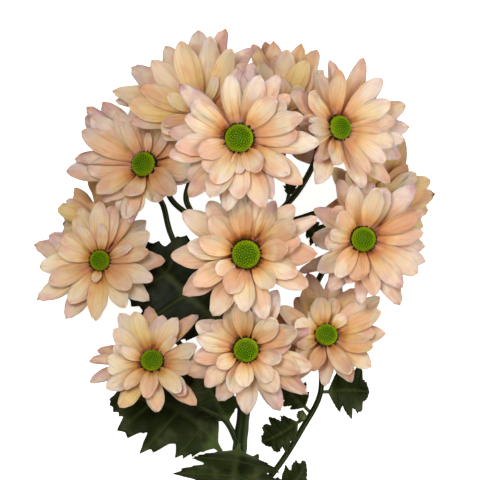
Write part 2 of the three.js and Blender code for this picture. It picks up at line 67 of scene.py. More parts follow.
def pick(*things):
    # selects these alone, with the first one active
    bpy.ops.object.select_all(action="DESELECT")
    for thing in things:
        thing.select_set(True)
    if things:
        bpy.context.view_layer.objects.active = things[0]


def editing(on):
    bpy.ops.object.mode_set(mode="EDIT" if on else "OBJECT")


def readPoints(mesh):
    points = np.empty(len(mesh.vertices) * 3)
    mesh.vertices.foreach_get("co", points)
    return points.reshape(-1, 3)


def writeMarks(mesh, marks):
    # numbers at each point, for the paint to read
    for mark, value in marks.items():
        layer = mesh.attributes.new(mark, "FLOAT", "POINT")
        layer.data.foreach_set("value", np.broadcast_to(value, len(mesh.vertices)).astype(np.float32))


def blankGrid(name, rows, columns):
    # a thin closed sheet: y runs along the blade from -1 to 1, and x across it
    pick()
    bpy.ops.mesh.primitive_grid_add(x_subdivisions=columns, y_subdivisions=rows, size=2)
    sheet = bpy.context.object
    sheet.name = name
    wall = sheet.modifiers.new("wall", "SOLIDIFY")
    wall.thickness = 0.1  # it only parts the two sides, and each piece gives them their own distance
    wall.offset = 0
    bpy.ops.object.modifier_apply(modifier=wall.name)
    points = readPoints(sheet.data)
    return {
        "object": sheet,
        "along": (points[:, 1] + 1) / 2,
        "across": points[:, 0],
        "upper": points[:, 2] > 0,
    }


def shapedCopy(blank, name, points, marks):
    # a copy of a blank with its own mesh and its points moved
    made = blank["object"].copy()
    made.data = blank["object"].data.copy()
    made.name = name
    bpy.context.collection.objects.link(made)
    made.data.vertices.foreach_set("co", (points * mm).astype(np.float32).ravel())
    writeMarks(made.data, marks)
    return made


def joined(pieces, name):
    pick(*pieces)
    if len(pieces) > 1:
        bpy.ops.object.join()
    whole = bpy.context.object
    whole.name = name
    whole.data.name = name
    editing(True)
    bpy.ops.mesh.select_all(action="SELECT")
    bpy.ops.mesh.normals_make_consistent(inside=False)
    editing(False)
    bpy.ops.object.shade_smooth()
    return whole


def dressed(piece, node, paint):
    piece.data.materials.clear()
    piece.data.materials.append(paint)
    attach(piece, "root")
    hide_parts(node)


def removed(thing):
    bpy.data.objects.remove(thing, do_unlink=True)


# Small tools for the paints.

def colour(red, green, blue):
    parts = [c / 255 for c in (red, green, blue)]
    return (*[c / 12.92 if c < 0.04045 else ((c + 0.055) / 1.055) ** 2.4 for c in parts], 1)


def hues(*stops):
    return [(place, colour(red, green, blue)) for place, red, green, blue in stops]


def setInputs(node, values):
    for name, value in values.items():
        node.inputs[name].default_value = value


def plug(tree, socket, value):
    if isinstance(value, bpy.types.NodeSocket):
        tree.links.new(value, socket)
    else:
        socket.default_value = value


def coordinates(tree, kind):
    return tree.nodes.new("ShaderNodeTexCoord").outputs[kind]


def splitPlace(tree, kind):
    node = tree.nodes.new("ShaderNodeSeparateXYZ")
    plug(tree, node.inputs[0], coordinates(tree, kind))
    return node.outputs


def readMark(tree, mark):
    node = tree.nodes.new("ShaderNodeAttribute")
    node.attribute_name = mark
    return node.outputs["Fac"]


def maths(tree, kind, *values, clamp=False):
    node = tree.nodes.new("ShaderNodeMath")
    node.operation = kind
    node.use_clamp = clamp
    for socket, value in zip(node.inputs, values):
        plug(tree, socket, value)
    return node.outputs[0]


def ramp(tree, source, stops):
    node = tree.nodes.new("ShaderNodeValToRGB")
    node.color_ramp.interpolation = "EASE"
    marks = node.color_ramp.elements
    while len(marks) < len(stops):
        marks.new(0.5)
    for mark, (at, shade) in zip(marks, stops):
        mark.position = at
        mark.color = shade
    plug(tree, node.inputs[0], source)
    return node.outputs[0]


def fade(tree, source, low, high, dark=0.0, light=1.0):
    return ramp(tree, source, [(low, (dark, dark, dark, 1)), (high, (light, light, light, 1))])


def mixed(tree, share, first, second, kind="MIX"):
    node = tree.nodes.new("ShaderNodeMix")
    node.data_type = "RGBA"
    node.blend_type = kind
    plug(tree, node.inputs[0], share)
    plug(tree, node.inputs[6], first)
    plug(tree, node.inputs[7], second)
    return node.outputs[2]


def tinted(tree, share, base, source, stops):
    return mixed(tree, share, base, ramp(tree, source, stops), "MULTIPLY")


def noise(tree, where, scale, detail, stretch=None):
    if stretch:
        mapping = tree.nodes.new("ShaderNodeMapping")
        plug(tree, mapping.inputs["Vector"], where)
        mapping.inputs["Scale"].default_value = stretch
        where = mapping.outputs[0]
    node = tree.nodes.new("ShaderNodeTexNoise")
    plug(tree, node.inputs["Vector"], where)
    setInputs(node, {"Scale": scale, "Detail": detail})
    return node.outputs["Fac"]


def newPaint(name, look, layout=None):
    # a layout gives the base colour, then layers of relief, each a height, its depth in metres and strength
    paint = bpy.data.materials.new(name)
    paint.use_nodes = True
    tree = paint.node_tree
    surface = tree.nodes["Principled BSDF"]
    setInputs(surface, look["finish"])
    if layout:
        base, *layers = layout(tree, look)
        plug(tree, surface.inputs["Base Color"], base)
        under = None
        for height, depth, strength in layers:
            node = tree.nodes.new("ShaderNodeBump")
            setInputs(node, {"Strength": strength, "Distance": depth})
            plug(tree, node.inputs["Height"], height)
            if under:
                plug(tree, node.inputs["Normal"], under)
            under = node.outputs[0]
            plug(tree, surface.inputs["Normal"], under)
    return paint


# The camera looks straight down on the spray, as the front view does, from so far that it hardly narrows.

cameraPlan = {"away": 8.0, "span": 0.2136, "level": 0.07, "film": 36.0}


def makeCamera(plan):
    camera = bpy.data.objects.new("camera", bpy.data.cameras.new("camera"))
    bpy.context.collection.objects.link(camera)
    camera.location = (viewCentre[0] * mm, viewCentre[1] * mm, plan["level"] + plan["away"])
    camera.data.sensor_width = plan["film"]
    camera.data.lens = plan["film"] * plan["away"] / plan["span"]
    camera.data.clip_end = plan["away"] * 2
    bpy.context.scene.camera = camera


makeCamera(cameraPlan)
bpy.context.scene.view_settings.view_transform = "Standard"


# A pale floor that glows a little, as a light table does, and soft lamps above it.

stagePlan = {
    "floor": 12.0,
    "under": 0.0002,
    "look": {
        "finish": {
            "Base Color": (0.9, 0.9, 0.9, 1),
            "Roughness": 0.9,
            "Emission Color": (1, 1, 1, 1),
            "Emission Strength": 0.9,
        },
    },
    # the surroundings' light overhead and below the horizon, and the share of the height that each reaches to
    "above": (0.186, 0.136, 0.048, 1),
    "below": (0.106, 0.062, 0.008, 1),
    "horizon": (0.42, 0.6),
    "aim": (0, 0.05, 0.05),
    "lamps": [
        {"name": "key", "at": (-0.34, 0.44, 1.75), "size": 0.45, "power": 16.2},
        {"name": "front", "at": (0.12, -0.12, 1.9), "size": 1.0, "power": 5.8},
        {"name": "side", "at": (1.05, 0.12, 0.9), "size": 0.8, "power": 8.0},
    ],
}


def makeFloor(plan):
    pick()
    bpy.ops.mesh.primitive_plane_add(size=plan["floor"], location=(0, 0, -plan["under"]))
    floor = bpy.context.object
    floor.name = "floor"
    floor.data.materials.append(newPaint("floor paint", plan["look"]))
    floor.visible_diffuse = False  # it shows white, but doesn't light the petals from below


def makeLight(plan):
    world = bpy.data.worlds.new("world")
    world.use_nodes = True
    sky = world.node_tree
    height = maths(sky, "MULTIPLY_ADD", splitPlace(sky, "Generated")[2], 0.5, 0.5)
    shade = ramp(sky, height, list(zip(plan["horizon"], (plan["below"], plan["above"]))))
    plug(sky, sky.nodes["Background"].inputs[0], shade)
    bpy.context.scene.world = world
    for lamp in plan["lamps"]:
        light = bpy.data.objects.new(lamp["name"], bpy.data.lights.new(lamp["name"], "AREA"))
        bpy.context.collection.objects.link(light)
        light.data.energy = lamp["power"]
        light.data.size = lamp["size"]
        light.location = lamp["at"]
        aim = Vector(plan["aim"]) - light.location
        light.rotation_euler = aim.to_track_quat("-Z", "Y").to_euler()


makeFloor(stagePlan)
makeLight(stagePlan)
print("camera, floor and lamps made")


# The blooms. Each has its place, the way it leans and how far in degrees, its radius, its disc's radius, how
# much it is cupped, its seed, and how golden and mauve it is. Its petals follow in three tiers: the turn and
# the reach of each tip from the disc's centre as the front view shows it, in degrees and millimetres, and
# the petal's width where it is narrow.

tiers = {
    "low": {"width": 0.31, "rise": 1, "curl": 8, "sunk": 1.6, "usual": 0.95, "most": 1.2, "step": 40},
    "mid": {"width": 0.29, "rise": 17, "curl": 0, "sunk": 0.6, "usual": 0.85, "most": 1.05, "step": 40},
    "top": {"width": 0.24, "rise": 38, "curl": -22, "sunk": -0.4, "usual": 0.55, "most": 0.75, "step": 180},
}

blooms = [
    {
        "at": (-0.4, 44.9, 112), "lean": 90, "tilt": 6, "radius": 31.5, "disc": 6.8, "cup": 0, "seed": 11,
        "gold": 0.15, "mauve": 0.75,
        "low": [(90, 31.5), (81, 34, 0.5), (59, 33.5), (42, 29.5, 0.9), (356, 35.5), (300, 30.5), (290, 33),
            (261, 32), (230, 34.3), (216, 29), (138, 35.5), (175, 31), (326, 34.3)],
        "mid": [(100, 29), (70, 29.5), (22, 30), (7, 26), (324, 27), (268, 27), (244, 31), (196, 33),
            (143, 27.5), (188, 29), (160, 26), (37, 27)],
        "top": [(199, 17.5), (222, 19), (241, 19.5), (268, 14), (305, 15.5), (52, 23)],
    },
    {
        "at": (2.7, -6.2, 96), "lean": 250, "tilt": 5, "radius": 32.5, "disc": 6.8, "cup": 0, "seed": 23,
        "gold": 0.25, "mauve": 0.4,
        "low": [(146, 33.5), (184, 33.5), (211, 33.5), (241, 31), (330, 31), (0, 31.5), (29, 35.5, 0.5),
            (44, 30), (60, 26.5, 0.6), (127, 28.5), (287, 30.5)],
        "mid": [(99, 26), (81, 25.5), (32, 26.5), (16, 24.5), (338, 24.5), (266, 26), (135, 23), (307, 20),
            (246, 20)],
        "top": [(6, 17.5), (167, 20), (212, 15.5)],
    },
    {
        "at": (-42.3, 33.4, 58), "lean": 152, "tilt": 28, "radius": 33, "disc": 6.0, "cup": 4, "seed": 37,
        "gold": 0.25, "mauve": 0.75,
        "low": [(172, 32, 0.35), (217, 25), (240, 23.5), (256, 27, 0.4), (285, 17), (315, 18), (345, 22),
            (141, 37), (133, 37, 0.5), (122, 34), (187, 35.5)],
        "mid": [(153, 34), (138, 33), (181, 27), (205, 26), (292, 17), (48, 20), (100, 27), (75, 24),
            (118, 28)],
        "top": [(229, 15), (66, 16, 0.5), (315, 14), (95, 15, 0.4), (125, 23, 0.6)],
    },
    {
        "at": (-62.3, -9.3, 44), "lean": 150, "tilt": 12, "radius": 30, "disc": 4.9, "cup": 2, "seed": 41,
        "gold": 0.45, "mauve": 0.6,
        "low": [(167, 31), (211, 33.5), (239, 30), (319, 27), (0, 29), (42, 26.5), (55, 31, 0.45), (155, 26),
            (113, 26), (262, 22.5, 0.8)],
        "mid": [(184, 27.5), (200, 26), (234, 23.5), (300, 24), (339, 23.5), (77, 26), (94, 26.5),
            (121, 23.5), (149, 21)],
        "top": [(13, 20, 0.7), (30, 14, 0.5), (124, 19, 0.6), (90, 16, 0.6), (250, 9, 0.8), (315, 16),
            (165, 19, 0.7)],
    },
    {
        "at": (-39.2, -54.3, 60), "lean": 95, "tilt": 22, "radius": 27, "disc": 5.4, "cup": 4, "seed": 59,
        "gold": 0.5, "mauve": 0.55,
        "low": [(91, 25), (78, 22), (122, 26.5), (167, 25, 0.6), (177, 27.5, 0.4), (195, 29, 0.5),
            (47, 30, 0.55), (317, 25.5)],
        "mid": [(110, 24.5), (137, 23.5), (156, 19), (174, 20), (191, 20.5), (207, 23.5), (235, 26),
            (274, 20), (20, 21.5), (355, 18), (63, 23.5)],
        "top": [(321, 20), (262, 10), (150, 15, 0.7), (215, 14, 0.7), (55, 16, 0.6)],
    },
    {
        "at": (2.7, -48.5, 80), "lean": 275, "tilt": 12, "radius": 30, "disc": 6.0, "cup": 0, "seed": 61,
        "gold": 0.25, "mauve": 0.6,
        "low": [(272, 29), (300, 31.5), (324, 33.5), (342, 30.5), (16, 30, 0.5), (151, 25), (204, 28),
            (243, 26.5)],
        "mid": [(307, 24), (6, 20.5), (20, 25), (115, 20), (143, 20), (190, 24), (252, 21), (66, 20),
            (171, 22)],
        "top": [(305, 18), (40, 17), (95, 18.5), (267, 17), (215, 15), (340, 16)],
    },
    {
        "at": (38.3, -42.7, 54), "lean": 60, "tilt": 18, "radius": 27.5, "disc": 5.4, "cup": 6, "seed": 73,
        "gold": 0.6, "mauve": 0.5,
        "low": [(103, 29), (80, 29), (59, 25.5), (34, 30), (328, 24.5), (300, 23), (271, 21, 0.65),
            (125, 22)],
        "mid": [(149, 25.5), (42, 23.5), (24, 28), (6, 22.5), (347, 22), (76, 18.5), (251, 16, 0.65),
            (176, 18), (212, 16)],
        "top": [(95, 18), (307, 16.5), (194, 12, 0.7), (115, 13.5), (150, 13), (50, 14)],
    },
    {
        "at": (54.7, 0.4, 70), "lean": 350, "tilt": 10, "radius": 30, "disc": 5.9, "cup": 0, "seed": 83,
        "gold": 0.2, "mauve": 0.75,
        "low": [(111, 28.5, 0.85), (46, 34), (355, 28), (339, 30), (300, 33.5), (269, 29, 0.6), (238, 27.5),
            (210, 31, 0.45), (180, 22.5), (147, 24.5), (84, 26)],
        "mid": [(102, 24), (23, 30, 0.7), (5, 27.5), (330, 29), (309, 28), (281, 26), (252, 20.5, 0.6),
            (183, 17.5), (135, 19.5), (62, 25)],
        "top": [(72, 23), (264, 18), (235, 18), (174, 13), (133, 14)],
    },
    {
        "at": (43.6, 49.8, 78), "lean": 15, "tilt": 36, "radius": 32, "disc": 5.8, "cup": 2, "seed": 97,
        "gold": 0.3, "mauve": 0.5,
        "low": [(68, 34), (17, 34), (0, 31), (350, 32), (338, 35.5), (312, 34), (288, 27.5, 0.4), (249, 26),
            (107, 26), (143, 25), (94, 30.5, 0.4)],
        "mid": [(46, 30.5), (24, 28), (8, 27), (346, 27.5), (325, 27), (270, 16), (237, 17, 0.6), (90, 27),
            (125, 20)],
        "top": [(318, 24, 0.7), (180, 8, 0.6), (215, 10, 0.45), (150, 9, 0.45)],
    },
    {
        "at": (-16.5, 56, 76), "lean": 125, "tilt": 28, "radius": 36, "disc": 5.2, "cup": 4, "seed": 101,
        "gold": 0.5, "mauve": 0.4,
        "low": [(167, 44, 0.6), (163, 41.5), (148, 39), (121, 36), (95, 38), (74, 39.5, 0.6), (56, 38, 0.6),
            (184, 33), (208, 21), (238, 18), (325, 12)],
        "mid": [(173, 34), (155, 32), (135, 34), (109, 35), (82, 35.5), (66, 33), (48, 31), (200, 20),
            (232, 17), (318, 10)],
        "top": [(186, 18, 0.5), (118, 15), (78, 19, 0.5), (150, 19, 0.6)],
    },
    {
        "at": (18.5, 54.5, 34), "lean": 85, "tilt": 30, "radius": 32, "disc": 4.6, "cup": 8, "seed": 113,
        "gold": 0.6, "mauve": 0.45,
        "low": [(112, 36, 0.5), (104, 38.5, 0.35), (98, 35.5), (74, 35), (64, 36.5), (50, 30)],
        "mid": [(97, 29.5), (88, 32.5), (81, 26), (62, 27.5), (70, 30), (112, 28), (129, 27)],
        "top": [(125, 13), (90, 20), (60, 18)],
    },
    {
        "at": (-62, 8, 15.044), "lean": 165, "tilt": 44, "radius": 24, "disc": 4.4, "cup": 8, "seed": 127,
        "gold": 1.5, "mauve": 0.25,
        "low": [(161, 22, 0.8), (181, 19, 0.8), (193, 19.5, 0.6), (128, 20.5, 0.8)],
        "mid": [(170, 19, 0.8), (150, 20, 0.8), (137, 19, 0.8)],
        "top": [(160, 12), (185, 12), (130, 12)],
    },
    {
        "at": (60, 15, 19.455), "lean": 8, "tilt": 34, "radius": 29, "disc": 5, "cup": 4, "seed": 131,
        "gold": 1.3, "mauve": 0.3,
        "low": [(10, 30), (27, 28.5), (342, 25), (64, 33.5), (357, 26.5)],
        "mid": [(49, 25), (18, 25.5), (352, 21), (34, 25.5)],
        "top": [(20, 14), (350, 14), (50, 14)],
    },
]

petalPlan = {
    "rows": 20,
    "columns": 12,
    "even": 0.4,  # share of the columns' spacing that is even: the rest crowds them towards the rims
    "claw": 0.4,  # the root's breadth, as a share of the widest
    "widestAt": 0.6,
    "roundness": {"low": (0.52, 0.76), "mid": (0.48, 0.66), "top": (0.44, 0.56)},  # 1 is pointed
    "broader": {"low": 1.06, "mid": 1.12, "top": 1.36},
    "stoutest": 0.72,  # how broad a short petal may be, as a share of its length
    "rolledUnder": 0.98,  # a narrower petal is rolled up, unless it is in the top tier
    "rolls": (0.1, 2.6, 26),
    "capFrom": 0.86,  # where the last row starts to run round the tip
    "rootInset": 0.3,
    "overlap": 3.5,  # degrees that one petal stands above the next, and the next below it
    "aimSteps": 20,
    "thickness": 0.34,
    "rim": 0.12,
    "notches": 10,  # the power that keeps the notches at the very tip
    "ridges": 3,
    "ridge": 0.4,
    "ridged": (0.25, 0.8),  # where the ridges are at full height
    "channel": 3.4,
    "unrolls": 0.3,  # how much flatter it is at its tip
    "convex": 0.4,  # share of the petals that arch their sides down
    "rootFold": 1.5,
    "rootFoldReach": 0.16,
    "tipFoldFrom": 0.7,
    "wavyFrom": (0.2, 0.6),
    "slant": 1.6,
    "curlFrom": 0.5,
    "tipCurl": {"low": (-0.6, 0.0), "mid": (-0.25, 0.5), "top": (-0.1, 0.4)},
    "roll": {"low": 9, "mid": 10, "top": 14},
    "shadedReach": {"low": 0.17, "mid": 0.07, "top": 0.0},  # share of the length that the tiers above hide, which the paint darkens with the ramps' root colour as painted shade
    "flush": {"low": 0.95, "mid": 0.55, "top": 0.35},
    "backMauve": 0.3,  # more mauve where a rolled petal shows its back
    "backUnder": 0.7,
    "backFrom": 12,
    # what differs from petal to petal, from least to most
    "differs": {
        "rise": (-1, 1), "curl": (-6, 6), "sway": (-0.05, 0.05), "reach": (0.92, 1.06), "width": (0.94, 1.08),
        "channel": (0.1, 0.22), "notch": (0, 0.011), "bend": (0.5, 1.4), "tipFold": (0, 0.7),
        "ridge": (0.5, 1.3), "waves": (0.8, 1.8), "wavy": (0, 0.2), "swell": (0, 0.22), "swells": (1.0, 1.9),
        "mauve": (0.3, 1.3), "moreMauve": (0.8, 1.8), "gold": (0.2, 1.9),
    },
}


def axisOf(bloom):
    tilt, lean = math.radians(bloom["tilt"]), math.radians(bloom["lean"])
    return Vector((math.sin(tilt) * math.cos(lean), math.sin(tilt) * math.sin(lean), math.cos(tilt)))


def turnOf(bloom):
    return np.array(Vector((0, 0, 1)).rotation_difference(axisOf(bloom)).to_matrix())


def fromFrontView(bloom, rise, tip):
    # the petal's own turn and reach, from where the front view shows its tip
    turned = turnOf(bloom)
    seen = tip[1] * np.array([math.cos(math.radians(tip[0])), math.sin(math.radians(tip[0]))])
    own = seen
    for _ in range(petalPlan["aimSteps"]):
        height = math.tan(rise) * np.hypot(*own)
        own = np.linalg.solve(turned[:2, :2], seen - turned[:2, 2] * height)
    return math.atan2(own[1], own[0]) % (2 * math.pi), float(np.hypot(*own))


def petalsOf(bloom):
    vary = randomSource(bloom["seed"])
    differs = petalPlan["differs"]
    root = bloom["disc"] - petalPlan["rootInset"]
    petals = []
    for name, tier in tiers.items():
        made = []

        def nextRise():
            over = petalPlan["overlap"] * (1 if len(made) % 2 else -1)
            return math.radians(tier["rise"] + bloom["cup"] + over + vary(*differs["rise"]))

        def add(turn, reach, width, rise):
            made.append({
                "tier": name,
                "turn": turn,
                "rise": rise,
                "narrow": width,
                "curl": math.radians(tier["curl"] + vary(*differs["curl"])),
                "root": root,
                "sunk": tier["sunk"],
                "length": (min(reach, bloom["radius"] * tier["most"]) - root) / math.cos(rise),
                "width": bloom["radius"] * tier["width"] * width * vary(*differs["width"]),
                "channel": vary(*differs["channel"]),
                "sway": vary(*differs["sway"]),
            })

        middle = math.radians(tier["rise"] + bloom["cup"])
        seen = sorted((fromFrontView(bloom, middle, tip)[0], tip) for tip in bloom[name])
        for i, (turn, tip) in enumerate(seen):
            rise = nextRise()
            own = fromFrontView(bloom, rise, tip)
            add(own[0], own[1], tip[2] if len(tip) > 2 else 1, rise)
            following = seen[i + 1][0] if i + 1 < len(seen) else seen[0][0] + 2 * math.pi
            parts = math.floor((following - turn) / math.radians(tier["step"]) + 0.5)
            for k in range(1, parts):
                reach = bloom["radius"] * tier["usual"] * vary(*differs["reach"])
                add(turn + (following - turn) * k / parts, reach, 1, nextRise())
        petals += made
    return petals


def petalHalf(s, roundness):
    plan = petalPlan
    opening = plan["claw"] + (1 - plan["claw"]) * np.sin(math.pi / 2 * np.minimum(s / plan["widestAt"], 1))
    past = np.clip((s - plan["widestAt"]) / (1 - plan["widestAt"]), 0, 1)
    return opening * np.maximum(np.cos(math.pi / 2 * past), 0) ** roundness


def rowEnd(t, roundness):
    # how far along the petal a row that starts level ends, so that the last row follows the round tip
    plan = petalPlan
    share = petalHalf(plan["capFrom"], roundness) * np.abs(t)
    past = 2 / math.pi * np.arccos(np.clip(share, 0, 1) ** (1 / roundness))
    return plan["widestAt"] + (1 - plan["widestAt"]) * past


def rollFor(narrow):
    # how far a petal's sides roll up round its rib, in radians, for it to look that much narrower
    rolls = np.linspace(*petalPlan["rolls"])
    return float(np.interp(narrow, (np.sin(rolls) / rolls)[::-1], rolls[::-1]))


def petalPoints(petal, blank, vary):
    plan, differs = petalPlan, petalPlan["differs"]
    tier, length, narrow = petal["tier"], petal["length"], petal["narrow"]
    v, upper = blank["along"], blank["upper"]
    t = plan["even"] * blank["across"] + (1 - plan["even"]) * np.sin(math.pi / 2 * blank["across"])
    roundness = vary(*plan["roundness"][tier])
    ridges = np.cos(plan["ridges"] * math.pi * t)
    s = v * rowEnd(t, roundness)
    s = s + vary(*differs["notch"]) * v ** plan["notches"] * ridges
    roll = plan["channel"] * petal["channel"] * vary(*differs["bend"])
    roll = roll * (-1 if vary(0, 1) < plan["convex"] else 1)
    width = petal["width"] * plan["broader"][tier]
    if narrow < plan["rolledUnder"] and tier != "top":
        width = width / narrow
        roll = rollFor(narrow)
    else:
        width = min(width, plan["stoutest"] * length)
    half = width / 2 * petalHalf(v * plan["capFrom"], roundness)
    fold = roll * (1 - plan["unrolls"] * s) + plan["rootFold"] * np.exp(-s / plan["rootFoldReach"])
    angle = t * (fold + vary(*differs["tipFold"]) * smooth(plan["tipFoldFrom"], 1.0, s))
    y = half * t * np.sinc(angle / math.pi)
    z = half * t * np.sin(angle / 2) * np.sinc(angle / 2 / math.pi)
    middle = smooth(0.0, plan["ridged"][0], s) * (1 - smooth(plan["ridged"][1], 1.0, s))
    z = z + plan["ridge"] * vary(*differs["ridge"]) * middle * (1 - t ** 4) * ridges
    phase, waves, wavy = vary(*anyTurn), vary(*differs["waves"]), vary(*differs["wavy"])
    wave = np.sin(2 * math.pi * waves * s + phase) * smooth(*plan["wavyFrom"], s)
    z = z + wavy * half * t * np.abs(t) * wave
    swell = vary(*differs["swell"])
    z = z + swell * np.sin(2 * math.pi * vary(*differs["swells"]) * s + plan["slant"] * t + phase) * middle
    below = np.where(upper, 0, plan["rim"] + (plan["thickness"] - plan["rim"]) * (1 - t ** 4))
    y = y + below * np.sin(angle)
    z = z - below * np.cos(angle)
    most = plan["roll"][tier]
    turn = np.radians(vary(-most, most)) * s
    y, z = y * np.cos(turn) - z * np.sin(turn), y * np.sin(turn) + z * np.cos(turn)
    along = petal["rise"] + petal["curl"] * s / 2
    slope = petal["rise"] + petal["curl"] * s
    lift = z + vary(*plan["tipCurl"][tier]) * length * np.maximum(s - plan["curlFrom"], 0) ** 2
    x = petal["root"] + length * s * np.cos(along) - lift * np.sin(slope)
    z = length * s * np.sin(along) - petal["sunk"] + lift * np.cos(slope)
    y = y + petal["sway"] * length * s * s
    c, d = math.cos(petal["turn"]), math.sin(petal["turn"])
    return np.stack([x * c - y * d, x * d + y * c, z], axis=1)


def placedIn(bloom, points):
    placed = points @ turnOf(bloom).T + np.array(bloom["at"]) + viewCentre
    placed[:, 2] = np.maximum(placed[:, 2], lowest)
    return placed


def dressBlooms(make, kind, paint):
    for number, bloom in enumerate(blooms, 1):
        dressed(make(bloom, f"{kind}_{number:02d}"), f"bloom_{number:02d}_{kind}", paint)
    print(kind, "made")


petalBlank = blankGrid("petalBlank", petalPlan["rows"], petalPlan["columns"])


def makePetals(bloom, name):
    plan, differs = petalPlan, petalPlan["differs"]
    vary = randomSource(bloom["seed"] * 7 + 3)
    parts = []
    for i, petal in enumerate(petalsOf(bloom)):
        points = petalPoints(petal, petalBlank, vary)
        flush = bloom["mauve"] * plan["flush"][petal["tier"]]
        flush = flush * vary(*differs["mauve"]) * vary(*differs["moreMauve"])
        if petal["narrow"] < plan["backUnder"] and petal["length"] > plan["backFrom"]:
            flush += plan["backMauve"]
        parts.append(shapedCopy(petalBlank, f"{name}_{i}", placedIn(bloom, points), {
            "tone": vary(0, 1),
            "mauve": min(1, flush),
            "gold": min(1, bloom["gold"] * vary(*differs["gold"])),
            "shadedReach": plan["shadedReach"][petal["tier"]],
            "under": np.where(petalBlank["upper"], 0.0, 1.0),
        }))
    return joined(parts, name)


petalLook = {
    # Each ramp runs from the petal's root: its dark first stops are partly the petal's own deeper orange by
    # the disc and partly painted shade in the crevices between the petals' roots.
    "peach": hues(
        (0.0, 154, 64, 10), (0.09, 213, 136, 74), (0.28, 242, 191, 144),
        (0.58, 253, 228, 205), (1.0, 253, 234, 226),
    ),
    "cream": hues((0.0, 154, 78, 5), (0.12, 218, 158, 72), (0.42, 252, 216, 156), (1.0, 254, 234, 210)),
    "straw": hues((0.0, 150, 84, 6), (0.4, 236, 194, 110), (1.0, 246, 220, 160)),
    "creamShare": 0.75,
    "creamPatches": 0.3,
    "ripe": {"low": 0.7, "high": 1.0, "light": 0.8},
    "blush": colour(242, 184, 146),
    "blushShare": 0.6,
    "mauve": colour(205, 168, 180),
    "rim": {"power": 5.0, "share": 0.55},
    "tip": 2.4,
    "back": colour(196, 140, 122),
    "backShare": 0.6,
    "patches": {  # the noise's scale and detail, and the levels between which it fades
        "cream": (110.0, 2.0, {"low": 0.4, "high": 0.6}),
        "blush": (85.0, 1.0, {"low": 0.48, "high": 0.62}),
        "mauve": (160.0, 2.0, {"low": 0.35, "high": 0.6, "dark": 0.25}),
    },
    "grain": {"scale": 5.0, "detail": 3.5, "stretch": (4.5, 0.5, 1.0)},
    "fibres": [(0.3, (0.82, 0.64, 0.46, 1)), (0.5, (0.97, 0.95, 0.93, 1)), (0.75, (1.0, 1.0, 1.0, 1))],
    "fibreShare": 0.7,
    "tones": [
        (0.0, (0.84, 0.74, 0.66, 1)), (0.4, (0.98, 0.95, 0.92, 1)),
        (0.7, (1, 1, 1, 1)), (1.0, (0.95, 0.92, 0.98, 1)),
    ],
    "toneShare": 0.9,
    "bump": (0.0003, 0.7),
    "finish": {
        "Roughness": 0.5,
        "Specular IOR Level": 0.3,
        "Subsurface Weight": 0.5,
        "Subsurface Radius": (1.0, 0.5, 0.2),
        "Subsurface Scale": 0.0012,
        "Sheen Weight": 0.08,
    },
}


def petalColours(tree, look):
    across, along, _ = splitPlace(tree, "UV")
    edge = maths(tree, "ABSOLUTE", maths(tree, "SUBTRACT", maths(tree, "MULTIPLY", across, 2.0), 1.0))
    shadedReach, gold = readMark(tree, "shadedReach"), readMark(tree, "gold")
    # painted shade: the ramps start past the length that the tiers above hide, so that length takes their
    # dark root colour
    visible = maths(tree, "SUBTRACT", along, shadedReach)
    visible = maths(tree, "DIVIDE", visible, maths(tree, "SUBTRACT", 1.0, shadedReach), clamp=True)
    patches = {
        name: fade(tree, noise(tree, coordinates(tree, "Object"), scale, detail), **levels)
        for name, (scale, detail, levels) in look["patches"].items()
    }
    peach, cream, straw = (ramp(tree, visible, look[name]) for name in ("peach", "cream", "straw"))
    patchy = maths(tree, "MULTIPLY", patches["cream"], look["creamPatches"])
    share = maths(tree, "MULTIPLY_ADD", gold, look["creamShare"], patchy, clamp=True)
    base = mixed(tree, share, peach, cream)
    base = mixed(tree, fade(tree, gold, **look["ripe"]), base, straw)
    base = mixed(tree, maths(tree, "MULTIPLY", patches["blush"], look["blushShare"]), base, look["blush"])
    rim = maths(tree, "MULTIPLY", maths(tree, "POWER", edge, look["rim"]["power"]), look["rim"]["share"])
    flush = maths(tree, "ADD", rim, maths(tree, "POWER", along, look["tip"]))
    flush = maths(tree, "MULTIPLY", flush, patches["mauve"])
    flush = maths(tree, "MULTIPLY", flush, readMark(tree, "mauve"), clamp=True)
    base = mixed(tree, flush, base, look["mauve"])
    back = mixed(tree, look["backShare"], base, look["back"])
    base = mixed(tree, readMark(tree, "under"), base, back)
    fibres = noise(tree, coordinates(tree, "UV"), **look["grain"])
    base = tinted(tree, look["fibreShare"], base, fibres, look["fibres"])
    base = tinted(tree, look["toneShare"], base, readMark(tree, "tone"), look["tones"])
    return base, (fibres, *look["bump"])


dressBlooms(makePetals, "petals", newPaint("petal", petalLook, petalColours))
removed(petalBlank["object"])


# The disc of each bloom: a dome of florets, open at its rim and closed in its middle, in a ring of dark
# pointed scales that is mostly painted shade between the petals' roots and partly the outer florets' own
# dark.

discPlan = {
    "out": 0.86,  # the florets' radius and height, as shares of the disc's radius
    "height": 0.6,
    "foot": 1.2,
    "collar": [(0.86, -1.9), (0.98, 0.0), (0.9, 0.6)],  # the rings below the dome: share of the radius, level
    "dome": {"sides": 24, "bends": [86, 70, 52, 34, 16, 4], "out": 0.93, "low": 0.02, "rise": 0.84},
    "florets": {
        "count": 170, "wrap": 88, "lean": 0.9, "low": 0.1, "rise": 0.86, "uneven": 0.06, "size": (0.9, 1.1),
    },
    "kinds": {"open": {"size": 0.068, "tall": 1.1}, "closed": {"size": 0.084, "tall": 0.75}},
    "openFrom": 0.62,  # share of the way out
    "openUneven": 0.08,
    # pointed scales between the petals' roots, round the disc, painted fully dark: mostly painted shade
    # there, partly the outer florets' own dark gaps
    "shadeScales": {"count": 44, "out": 0.93, "down": 0.25, "girth": (0.035, 0.075), "length": (0.07, 0.17)},
}


